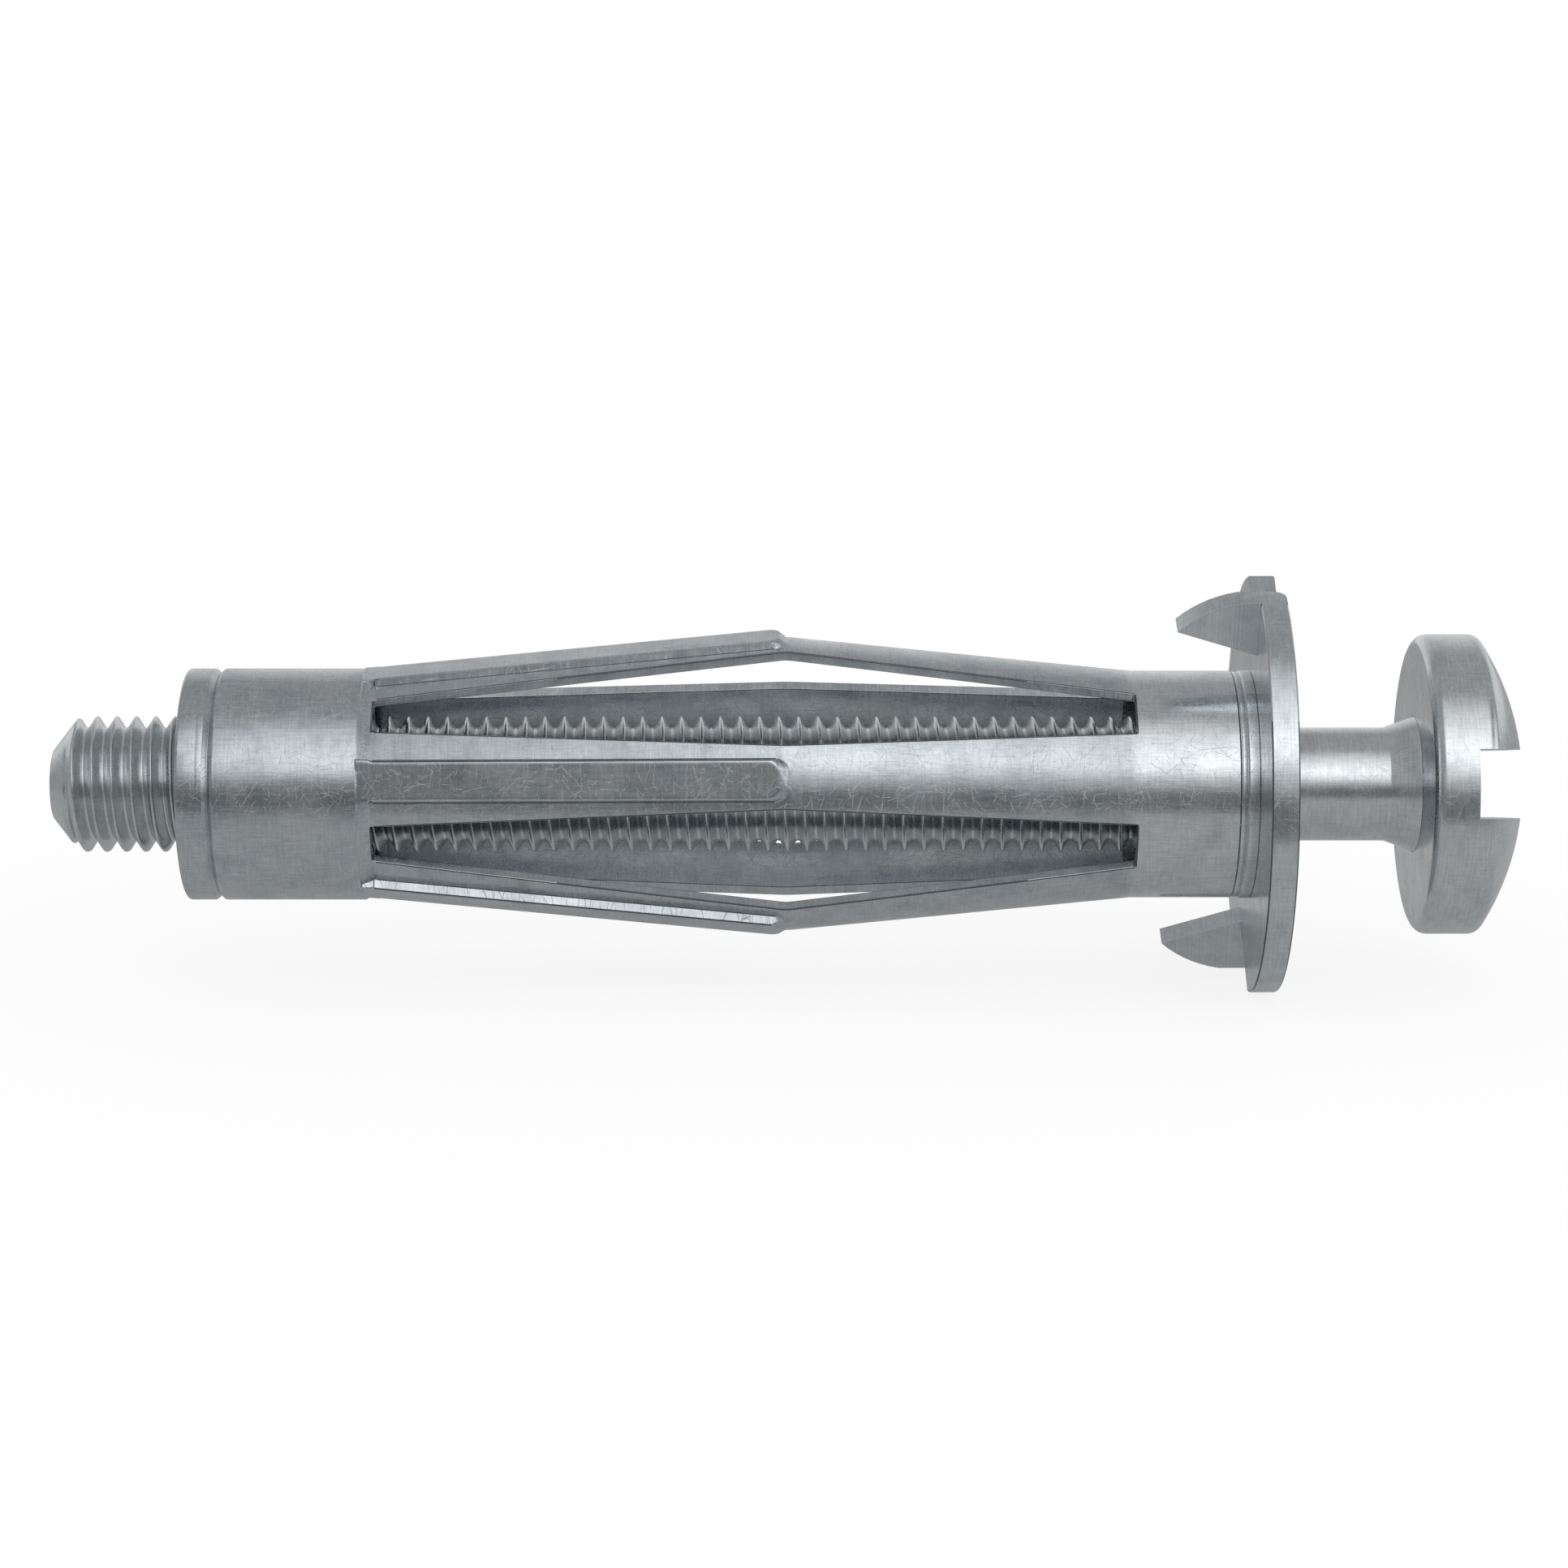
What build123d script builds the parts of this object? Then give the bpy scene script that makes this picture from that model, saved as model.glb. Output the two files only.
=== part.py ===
from build123d import *
import math
import os

# Metal hollow wall anchor for an M6 screw.
# A tube rolled from sheet steel is slotted into legs, which fold outwards
# behind a hollow wall when the screw draws the nut towards the flange.
# Millimetres, +Z up. The anchor's axis is the X axis. The origin is on that
# axis at the flange's wall side, and the screw's head points to +X.
# The whole anchor lies on the two corners of one notch in its flange.

# Sheet steel sleeve
SHEET = 0.45
TUBE_RADIUS = 5.01
NUT_SEAT_RADIUS = 5.11
BARREL_LENGTH = 5.25
FRONT_LEG_LENGTH = 15.15
REAR_LEG_LENGTH = 17.96
SHOULDER_LENGTH = 0.58
NUT_SEAT_LENGTH = 7.8
END_CHAMFER = 0.12

# Legs between the slots
LEG_COUNT = 5
LEG_TURN = 2.5
LEG_WIDTH_AT_BARREL = 3.98
LEG_WIDTH_AT_FOLD = 2.77
LEG_WIDTH_AT_NUT = 4.12
FOLD_LIFT = 1.54
LEG_SINK = 0.31

# Stiffening rib pressed into the rear half of each leg
RIB_HEIGHT = 0.3
RIB_TOP_WIDTH = 1.62
RIB_WALL_RUN = 0.1
RIB_END_RUN = 0.4
RIB_CORNER = 0.35
RIB_END_FROM_FOLD = 0.4
RIB_HOLLOW_START = 0.5

# Rolled neck that holds the flange, and the crimp that holds the nut
NECK_RADIUS = 4.85
NECK_GROOVE_WIDTH = 0.36
BEAD_RADIUS = 5.16
BEAD_WIDTH = 0.48
BEAD_CHAMFER = 0.12
FLARE_DEPTH = 0.45
CRIMP_FROM_END = 1.4
CRIMP_WIDTH = 0.42
CRIMP_DEPTH = 0.19

# Flange with two claws bent out of it
FLANGE_RADIUS = 9.2
FLANGE_THICKNESS = 1.18
FLANGE_EDGE = 0.06
CLAW_COUNT = 2
CLAW_TURN = 57.3
CLAW_ROOT_RADIUS = 6.6
CLAW_LENGTH = 3.5
CLAW_TIP_RADIUS = 7.78
CLAW_BEND_ROUND = 0.55
NOTCH_ANGLE = 32.5

# Nut bush inside the sleeve's end
NUT_END_CHAMFER = 0.3
NUT_RECESS = 0.15

# Screw
THREAD_RADIUS = 3.0
SHANK_RADIUS = 2.5
SCREW_LENGTH = 60.0
THREAD_LENGTH = 49.7
THREAD_RUNOUT = 0.6
TIP_RADIUS = 1.58
TIP_LENGTH = 1.12
NECK_CONE_LENGTH = 1.32
NECK_CONE_RADIUS = 2.97
HEAD_GAP = 6.12
HEAD_RADIUS = 6.62
HEAD_HEIGHT = 4.67
HEAD_RIM_HEIGHT = 2.62
HEAD_SEAT_CHAMFER = 0.35
DRIVE_SLOT_WIDTH = 3.0
DRIVE_SLOT_DEPTH = 2.79
CROSS_SPAN = 4.3
CROSS_WING_WIDTH = 1.05
CROSS_DEPTH = 3.3
CROSS_FLOOR_SHARE = 0.5

# Clearances between pieces
SEAT_CLEARANCE = 0.02
THREAD_CLEARANCE = 0.05

# Places along the axis that several pieces share
FLARE_END = FLANGE_THICKNESS
SLOT_START = -BARREL_LENGTH
FOLD_X = SLOT_START - FRONT_LEG_LENGTH
SLOT_END = FOLD_X - REAR_LEG_LENGTH
SEAT_START = SLOT_END - SHOULDER_LENGTH
SLEEVE_END = SEAT_START - NUT_SEAT_LENGTH
CRIMP_X = SLEEVE_END + CRIMP_FROM_END
HEAD_SEAT_X = FLANGE_THICKNESS + HEAD_GAP
SCREW_TIP_X = HEAD_SEAT_X - SCREW_LENGTH

# Radii that follow from the ones above
TUBE_BORE = TUBE_RADIUS - SHEET
NUT_SEAT_BORE = NUT_SEAT_RADIUS - SHEET
LEG_NUT_RADIUS = NUT_SEAT_RADIUS - LEG_SINK
FLANGE_BORE = NECK_RADIUS + SEAT_CLEARANCE

# The open stretch of a notch, from the claw's back face to its far corner,
# turned until its middle is the lowest point of the flange.
CLAW_BACK_ANGLE = math.degrees(math.asin(FLANGE_THICKNESS / FLANGE_RADIUS))
LYING_TURN = 90.0 - (CLAW_TURN + (CLAW_BACK_ANGLE + NOTCH_ANGLE) / 2.0)


def section_plane(x):
    """A plane across the axis at x, with its own x along Y and its own y along Z."""
    return Plane(origin=(x, 0, 0), x_dir=(0, 1, 0), z_dir=(1, 0, 0))


def turned(shape, azimuth):
    """A shape built towards +Z, turned about the axis. Azimuth 0 faces -Y and 90 faces +Z."""
    return Rot(X=90.0 - azimuth - LYING_TURN) * shape


def revolved(points):
    """A solid turned about the axis from a closed outline of (x, radius) points."""
    outline = Polyline(*[(x, 0, radius) for x, radius in points], close=True)
    return revolve(make_face(outline), axis=Axis.X)


def leg_outline(level):
    """A leg's outline on a plane this far above the axis, wide at both roots and narrow at the fold."""
    stations = [
        (SLOT_START, LEG_WIDTH_AT_BARREL / 2.0 / TUBE_RADIUS),
        (FOLD_X, LEG_WIDTH_AT_FOLD / 2.0 / (TUBE_RADIUS + FOLD_LIFT)),
        (SLOT_END, LEG_WIDTH_AT_NUT / 2.0 / LEG_NUT_RADIUS),
    ]
    halves = [(x, level * math.tan(math.asin(share))) for x, share in stations]
    near = [(x, -half) for x, half in halves]
    far = [(x, half) for x, half in reversed(halves)]
    return Plane(origin=(0, 0, level)) * make_face(Polyline(*near, *far, close=True))


def leg_blank():
    """A wedge of a leg's outline whose sides point at the axis, as slots punched before rolling do."""
    levels = [TUBE_BORE / 2.0, TUBE_RADIUS + FOLD_LIFT + SHEET]
    return loft([leg_outline(level) for level in levels], ruled=True)


def leg_sheet():
    """The bulged ring of sheet between barrel and shoulder that the legs are cut from."""
    outer = [
        (SLOT_START, TUBE_RADIUS),
        (FOLD_X, TUBE_RADIUS + FOLD_LIFT),
        (SLOT_END, LEG_NUT_RADIUS),
    ]
    inner = [(x, radius - SHEET) for x, radius in reversed(outer)]
    return revolved(outer + inner)


def rib_plane(depth):
    """The plane of the rib's flat top, sunk by depth, with its origin above the fold."""
    slope = Vector(REAR_LEG_LENGTH, 0, TUBE_RADIUS + FOLD_LIFT - LEG_NUT_RADIUS).normalized()
    up = Vector(-slope.Z, 0, slope.X)
    top = Vector(FOLD_X, 0, TUBE_RADIUS + FOLD_LIFT + RIB_HEIGHT)
    return Plane(origin=top - up * depth, x_dir=slope, z_dir=up)


def rib_outline(depth, start, end, half_width, corner):
    """A strip in the rib's plane with its two corners at the fold end rounded."""
    strip = Polyline(
        (end - corner, half_width),
        (start, half_width),
        (start, -half_width),
        (end - corner, -half_width),
    )
    rounds = [
        CenterArc((end - corner, half_width - corner), corner, 0, 90),
        CenterArc((end - corner, corner - half_width), corner, 270, 90),
        Line((end, half_width - corner), (end, corner - half_width)),
    ]
    return rib_plane(depth) * make_face([*strip.edges(), *rounds])


def rib():
    """The pressed rib, with its sloping walls sunk into the sheet below it."""
    depth = RIB_HEIGHT + SHEET / 2.0
    spread = depth / RIB_HEIGHT
    start = -REAR_LEG_LENGTH - SHOULDER_LENGTH
    end = -RIB_END_FROM_FOLD
    half = RIB_TOP_WIDTH / 2.0
    top = rib_outline(0.0, start, end, half, RIB_CORNER)
    foot = rib_outline(depth, start, end + RIB_END_RUN * spread, half + RIB_WALL_RUN * spread, RIB_CORNER)
    return loft([foot, top], ruled=True)


def rib_hollow():
    """The hollow that the pressing leaves on the rib's inner side, one sheet below its top."""
    depth = RIB_HEIGHT + 2.0 * SHEET
    spread = (depth - SHEET) / RIB_HEIGHT
    start = -REAR_LEG_LENGTH + RIB_HOLLOW_START
    end = -RIB_END_FROM_FOLD - SHEET / 2.0
    half = RIB_TOP_WIDTH / 2.0 - SHEET / 2.0
    corner = RIB_CORNER / 2.0
    top = rib_outline(SHEET, start, end, half, corner)
    foot = rib_outline(depth, start, end, half + RIB_WALL_RUN * spread / 2.0, corner)
    return loft([foot, top], ruled=True)


def leg():
    """One leg towards +Z, folded outwards, with the rib on its rear half."""
    return (leg_sheet() & leg_blank()) + rib() - rib_hollow()


def barrel_line():
    """The barrel's outer line from the slots to the groove and bead of its rolled neck."""
    groove_start = -BEAD_WIDTH - NECK_GROOVE_WIDTH
    return [
        (SLOT_START, TUBE_RADIUS),
        (groove_start - BEAD_CHAMFER, TUBE_RADIUS),
        (groove_start, TUBE_RADIUS - BEAD_CHAMFER),
        (groove_start, NECK_RADIUS),
        (-BEAD_WIDTH, NECK_RADIUS),
        (-BEAD_WIDTH, BEAD_RADIUS - BEAD_CHAMFER),
        (BEAD_CHAMFER - BEAD_WIDTH, BEAD_RADIUS),
        (0.0, BEAD_RADIUS),
    ]


def barrel():
    """The plain end of the sleeve, its neck through the flange and the flared rim beyond."""
    flare_start = FLARE_END - FLARE_DEPTH
    groove_start = -BEAD_WIDTH - NECK_GROOVE_WIDTH
    neck_bore = NECK_RADIUS - SHEET
    outer = barrel_line() + [
        (0.0, NECK_RADIUS),
        (flare_start, NECK_RADIUS),
        (FLARE_END, NECK_RADIUS + FLARE_DEPTH),
    ]
    inner = [
        (FLARE_END, NECK_RADIUS),
        (flare_start, neck_bore),
        (groove_start, neck_bore),
        (groove_start - SHEET, TUBE_BORE),
        (SLOT_START, TUBE_BORE),
    ]
    return revolved(outer + inner)


def crimp_line(radius):
    """The crimp's line on a wall of this radius: a narrow V pressed in around the nut."""
    half = CRIMP_WIDTH / 2.0
    return [(CRIMP_X - half, radius), (CRIMP_X, radius - CRIMP_DEPTH), (CRIMP_X + half, radius)]


def nut_seat():
    """The closed end of the sleeve around the nut, with its crimp and its shoulder."""
    outer = [
        (SLEEVE_END, NUT_SEAT_RADIUS - END_CHAMFER),
        (SLEEVE_END + END_CHAMFER, NUT_SEAT_RADIUS),
        *crimp_line(NUT_SEAT_RADIUS),
        (SEAT_START, NUT_SEAT_RADIUS),
        (SLOT_END, LEG_NUT_RADIUS),
    ]
    inner = [
        (SLEEVE_END, NUT_SEAT_BORE),
        *crimp_line(NUT_SEAT_BORE),
        (SEAT_START, NUT_SEAT_BORE),
        (SLOT_END, LEG_NUT_RADIUS - SHEET),
    ]
    return revolved(outer + inner[::-1])


def sleeve():
    """The whole sleeve: one piece of sheet, rolled, slotted, ribbed and folded."""
    body = barrel() + nut_seat()
    for index in range(LEG_COUNT):
        body += turned(leg(), LEG_TURN + index * 360.0 / LEG_COUNT)
    return body


def claw_profile():
    """The claw's side outline in (x, radius), from its root to its tip and back."""
    rise = FLANGE_RADIUS - CLAW_TIP_RADIUS
    curve = (CLAW_LENGTH**2 + rise**2) / (2.0 * rise)
    half_angle = math.asin(CLAW_LENGTH / curve) / 2.0
    middle = (-curve * math.sin(half_angle), FLANGE_RADIUS - curve * (1.0 - math.cos(half_angle)))
    tip = (-CLAW_LENGTH, CLAW_TIP_RADIUS)
    edge = ThreePointArc((0, FLANGE_RADIUS), middle, tip)
    straight = Line(tip, (0, CLAW_ROOT_RADIUS))
    root = Polyline(
        (0, CLAW_ROOT_RADIUS),
        (FLANGE_THICKNESS, CLAW_ROOT_RADIUS),
        (FLANGE_THICKNESS, FLANGE_RADIUS),
        (0, FLANGE_RADIUS),
    )
    return make_face([edge, straight, *root.edges()])


def claw():
    """One claw towards +Z, bent forwards along a radial line, as thick as the flange."""
    side = Plane(origin=(0, 0, 0), x_dir=(1, 0, 0), z_dir=(0, -1, 0))
    blade = extrude(side * claw_profile(), amount=-FLANGE_THICKNESS)
    return blade & (Pos(-CLAW_LENGTH, 0, 0) * plain_disc(CLAW_LENGTH + FLANGE_THICKNESS, FLANGE_RADIUS))


def bend_corner():
    """What the rounded back of a claw's bend takes off the square corner of the sheet."""
    centre = FLANGE_THICKNESS - CLAW_BEND_ROUND
    square = Pos(CLAW_BEND_ROUND, CLAW_BEND_ROUND / 2.0) * Rectangle(2.0 * CLAW_BEND_ROUND, CLAW_BEND_ROUND)
    corner = Pos(centre, centre, notch_root()[1]) * (square - Circle(CLAW_BEND_ROUND))
    return extrude(corner, amount=FLANGE_RADIUS)


def plain_disc(length, radius):
    """A plain disc on the axis from x 0."""
    return revolved([(0, 0), (0, radius), (length, radius), (length, 0)])


def notch_rim():
    """Where the notch's straight edge meets the rim, as (across the claw, along its radius)."""
    corner = math.radians(NOTCH_ANGLE)
    return (FLANGE_RADIUS * math.sin(corner), FLANGE_RADIUS * math.cos(corner))


def notch_root():
    """Where the notch's straight edge meets the claw's back face."""
    rim = notch_rim()
    share = FLANGE_THICKNESS / rim[0]
    return (FLANGE_THICKNESS, CLAW_ROOT_RADIUS + (rim[1] - CLAW_ROOT_RADIUS) * share)


def notch():
    """The opening behind a claw towards +Z: what the claw was before it was bent."""
    rim = notch_rim()
    root = notch_root()
    far = 2.0 * FLANGE_RADIUS
    outside = (2.0 * rim[0] - root[0], 2.0 * rim[1] - root[1])
    outline = Polyline(root, outside, (outside[0], far), (root[0], far), close=True)
    return extrude(section_plane(0) * make_face(outline), amount=FLANGE_THICKNESS)


def claw_flange():
    """The pressed flange: a disc with its bore, two notches and the claws bent from them."""
    rim = FLANGE_RADIUS - FLANGE_EDGE
    flare_start = FLARE_END - FLARE_DEPTH
    flared = FLANGE_BORE + FLARE_DEPTH
    disc = revolved([
        (0, FLANGE_BORE),
        (0, rim),
        (FLANGE_EDGE, FLANGE_RADIUS),
        (FLANGE_THICKNESS - FLANGE_EDGE, FLANGE_RADIUS),
        (FLANGE_THICKNESS, rim),
        (FLANGE_THICKNESS, flared),
        (flare_start, FLANGE_BORE),
    ])
    for index in range(CLAW_COUNT):
        azimuth = CLAW_TURN + index * 360.0 / CLAW_COUNT
        disc -= turned(notch(), azimuth)
        disc += turned(claw(), azimuth)
        disc -= turned(bend_corner(), azimuth)
    return disc


def nut():
    """The nut bush, held between the sleeve's shoulder and its crimp."""
    radius = NUT_SEAT_BORE - SEAT_CLEARANCE
    bore = THREAD_RADIUS + THREAD_CLEARANCE
    left = SLEEVE_END + NUT_RECESS
    right = SEAT_START - SEAT_CLEARANCE
    return revolved([
        (left, bore),
        (left, radius - NUT_END_CHAMFER),
        (left + NUT_END_CHAMFER, radius),
        *crimp_line(radius),
        (right - NUT_END_CHAMFER, radius),
        (right, radius - NUT_END_CHAMFER),
        (right, bore),
    ])


def screw_blank():
    """The screw's turned form: tip, plain cylinder over the thread, shank, cone and pan head."""
    thread_end = SCREW_TIP_X + THREAD_LENGTH
    rim_end = HEAD_SEAT_X + HEAD_RIM_HEIGHT
    apex = HEAD_SEAT_X + HEAD_HEIGHT
    dome_height = HEAD_HEIGHT - HEAD_RIM_HEIGHT
    dome = (HEAD_RADIUS**2 + dome_height**2) / (2.0 * dome_height)
    half_angle = math.asin(HEAD_RADIUS / dome) / 2.0
    middle = (apex - dome * (1.0 - math.cos(half_angle)), dome * math.sin(half_angle))
    body = Polyline(
        (apex, 0),
        (SCREW_TIP_X, 0),
        (SCREW_TIP_X, TIP_RADIUS),
        (SCREW_TIP_X + TIP_LENGTH, THREAD_RADIUS),
        (thread_end - THREAD_RUNOUT, THREAD_RADIUS),
        (thread_end, SHANK_RADIUS),
        (HEAD_SEAT_X - NECK_CONE_LENGTH, SHANK_RADIUS),
        (HEAD_SEAT_X, NECK_CONE_RADIUS),
        (HEAD_SEAT_X, HEAD_RADIUS - HEAD_SEAT_CHAMFER),
        (HEAD_SEAT_X + HEAD_SEAT_CHAMFER, HEAD_RADIUS),
        (rim_end, HEAD_RADIUS),
    )
    top = ThreePointArc((rim_end, HEAD_RADIUS), middle, (apex, 0))
    return revolve(make_face([*body.edges(), top]), axis=Axis.X)


def cross_recess():
    """The cross recess under the slot: two tapered wings that meet on the axis."""
    apex = HEAD_SEAT_X + HEAD_HEIGHT
    floor = apex - CROSS_DEPTH
    mouth_face = section_plane(apex) * Rectangle(CROSS_WING_WIDTH, CROSS_SPAN)
    floor_span = max(CROSS_SPAN * CROSS_FLOOR_SHARE, CROSS_WING_WIDTH)
    floor_face = section_plane(floor) * Rectangle(CROSS_WING_WIDTH * CROSS_FLOOR_SHARE, floor_span)
    wing = loft([floor_face, mouth_face], ruled=True)
    return wing + Rot(X=90) * wing


def screw():
    """The pan head screw with its straight slot and cross recess."""
    apex = HEAD_SEAT_X + HEAD_HEIGHT
    floor = apex - DRIVE_SLOT_DEPTH
    reach = 4.0 * HEAD_RADIUS
    slot = Pos(floor + HEAD_HEIGHT / 2.0, 0, 0) * Box(HEAD_HEIGHT, reach, DRIVE_SLOT_WIDTH)
    drive = slot + cross_recess()
    return screw_blank() - Rot(X=-LYING_TURN) * drive


def main():
    """Writes each piece as one solid."""
    os.makedirs("parts", exist_ok=True)
    pieces = {
        "sleeve": sleeve(),
        "claw_flange": claw_flange(),
        "nut": nut(),
        "screw": screw(),
    }
    for name, piece in pieces.items():
        export_step(piece, f"parts/{name}.step")


main()
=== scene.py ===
import math
from contextlib import contextmanager
from functools import partial

import bmesh
import bpy
import numpy as np
from bpy.props import FloatProperty, FloatVectorProperty, IntProperty, PointerProperty
from bpy.types import Operator, Panel, PropertyGroup
from mathutils import Matrix, Vector


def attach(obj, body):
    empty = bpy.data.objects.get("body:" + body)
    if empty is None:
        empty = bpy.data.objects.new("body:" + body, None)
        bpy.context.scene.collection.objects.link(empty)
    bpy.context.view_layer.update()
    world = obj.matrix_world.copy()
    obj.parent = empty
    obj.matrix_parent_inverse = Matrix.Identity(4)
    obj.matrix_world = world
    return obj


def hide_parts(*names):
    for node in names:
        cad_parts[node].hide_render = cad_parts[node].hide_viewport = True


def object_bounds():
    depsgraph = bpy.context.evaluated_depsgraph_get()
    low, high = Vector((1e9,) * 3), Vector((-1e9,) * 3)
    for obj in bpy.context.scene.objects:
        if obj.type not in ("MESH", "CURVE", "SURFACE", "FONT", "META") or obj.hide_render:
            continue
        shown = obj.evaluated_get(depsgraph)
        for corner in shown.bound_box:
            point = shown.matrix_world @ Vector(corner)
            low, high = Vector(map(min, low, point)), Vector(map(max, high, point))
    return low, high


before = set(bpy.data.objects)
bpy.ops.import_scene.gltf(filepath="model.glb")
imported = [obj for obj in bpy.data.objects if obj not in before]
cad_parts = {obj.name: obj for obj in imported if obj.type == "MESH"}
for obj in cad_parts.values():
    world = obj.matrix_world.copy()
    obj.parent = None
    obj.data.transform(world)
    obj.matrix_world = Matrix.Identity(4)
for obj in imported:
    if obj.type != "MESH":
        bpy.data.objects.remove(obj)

bl_info = {
    "name": "Metal hollow wall anchor",
    "version": (1, 0, 0),
    "blender": (4, 5, 0),
    "location": "3D View > Sidebar > Wall anchor",
    "description": "Builds the looks of a zinc plated hollow wall anchor around its packed parts",
    "category": "Object",
}

CAD_BOX = [list(corner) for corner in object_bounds()]
MM = 0.001
# Points that are closer than this are one point.
WELD = 0.000002
# Keeps a length that is divided by from being nothing.
NO_ZERO = 1e-20
# Faces that differ by more than the first angle are bent, and by less than the second run straight on.
BENT = math.radians(5)
STRAIGHT = math.radians(10)
# A face is mapped straight on where its normal's share along the axis is more than this.
FACES_ALONG = 0.75
WHITE = (1.0, 1.0, 1.0, 1.0)
MATH = "ShaderNodeMath"
RANGE = "ShaderNodeMapRange"
NOISE = "ShaderNodeTexNoise"


# Colours and property helpers

def linear(code):
    """The linear colour of an sRGB hex code."""
    channels = [int(code[i:i + 2], 16) / 255 for i in (1, 3, 5)]
    return tuple(c / 12.92 if c <= 0.04045 else ((c + 0.055) / 1.055) ** 2.4 for c in channels)


def length(name, description, millimetres):
    """A length property, given in millimetres and held in metres."""
    size = millimetres * MM
    return FloatProperty(name=name, description=description, default=size, unit="LENGTH", precision=5)


def angle(name, description, degrees):
    """An angle property, given in degrees."""
    return FloatProperty(name=name, description=description, default=math.radians(degrees), unit="ROTATION")


def share(name, description, value):
    """A property that is a share from 0 to 1."""
    return FloatProperty(
        name=name, description=description, default=value, min=0.0, max=1.0, subtype="FACTOR")


def level(name, description, value):
    """A brightness property. At 1 a white surface renders white."""
    return FloatProperty(name=name, description=description, default=value, min=0.0)


def colour(name, description, code):
    """A colour property, given as an sRGB hex code."""
    return FloatVectorProperty(
        name=name, description=description, default=linear(code), size=3, min=0.0, max=1.0, subtype="COLOR")


class LyingSizes(PropertyGroup):
    """How the anchor lies."""
    turn: angle("Lying turn", "Turn about the axis that lays the anchor on a notch of its flange", 12.7672)


class SleeveSizes(PropertyGroup):
    """The sheet steel sleeve."""
    sheet: length("Sheet", "Thickness of the sheet", 0.45)
    radius: length("Tube radius", "Outer radius of the rolled tube at the barrel", 5.01)
    seat_radius: length("Nut seat radius", "Outer radius of the closed tube around the nut", 5.11)
    barrel: length("Barrel", "From the flange to the slots", 5.25)
    front_leg: length("Front leg", "From the slots' front end to the fold", 15.15)
    rear_leg: length("Rear leg", "From the fold to the slots' rear end", 17.96)
    shoulder: length("Shoulder", "From the slots' rear end to the full tube", 0.58)
    seat: length("Nut seat", "Length of the closed tube around the nut", 7.8)
    legs: IntProperty(name="Legs", description="Number of legs", default=5, min=2)
    leg_turn: angle("Leg turn", "Turn of the first leg from the front", 2.5)
    width_barrel: length("Leg width at the barrel", "Leg width at the barrel", 3.98)
    width_fold: length("Leg width at the fold", "Leg width at the fold", 2.77)
    width_nut: length("Leg width at the nut", "Leg width at the nut seat", 4.12)
    lift: length("Fold lift", "How far the fold stands out of the tube", 1.54)
    sink: length("Leg sink", "How far the legs are pressed in next to the nut seat", 0.31)
    rib_height: length("Rib height", "Height of the pressed rib", 0.3)
    rib_width: length("Rib width", "Width of the rib's flat top", 1.46)
    rib_wall: length("Rib wall", "Run of the rib's rounded side wall", 0.22)
    rib_end: length("Rib end", "Run of the slope at the rib's end", 0.55)
    rib_corner: length("Rib corner", "Corner radius of the rib's end", 0.35)
    rib_shift: length("Rib shift", "How far the rib lies beside the leg's middle", -0.12)
    rib_lean: angle("Rib lean", "How far the rib's top leans to one side", 5.5)
    rib_gap: length("Rib gap", "From the flat top's end to the fold", 0.4)
    cut_round: length("Cut edge round", "Radius of the sheared edges", 0.05)
    end_round: length("End round", "Radius of the tube's rear edge", 0.14)
    crimp: length("Crimp", "From the rear end to the middle of the crimp", 1.4)
    crimp_width: length("Crimp width", "Width of the crimp", 0.42)
    crimp_depth: length("Crimp depth", "Depth of the crimp", 0.19)
    neck: length("Neck radius", "Outer radius of the neck in the flange", 4.85)
    bead: length("Bead radius", "Radius of the bead against the flange", 5.04)
    bead_width: length("Bead width", "Width of the bead", 0.5)
    groove_width: length("Groove width", "Width of the rolled step beside the bead", 0.3)
    groove_depth: length("Groove depth", "Depth of the fine lines that the rolling leaves", 0.07)
    flare: length("Flare", "Depth of the flared rim in the flange", 0.45)


class FlangeSizes(PropertyGroup):
    """The pressed flange."""
    thickness: length("Thickness", "Thickness of the flange", 1.18)
    edge_round: length("Edge round", "Radius of the stamped edges", 0.05)


class NutSizes(PropertyGroup):
    """The nut bush inside the sleeve."""
    recess: length("Recess", "How far the nut stands back from the sleeve's end", 0.15)
    chamfer: length("Chamfer", "Chamfer of the outer ends", 0.3)
    sink: length("Countersink", "Depth of the countersink at both thread ends", 0.8)
    play: length("Thread play", "Clearance between the threads", 0.05)
    fit: length("Seat fit", "Clearance between nut and sleeve", 0.02)


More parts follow.
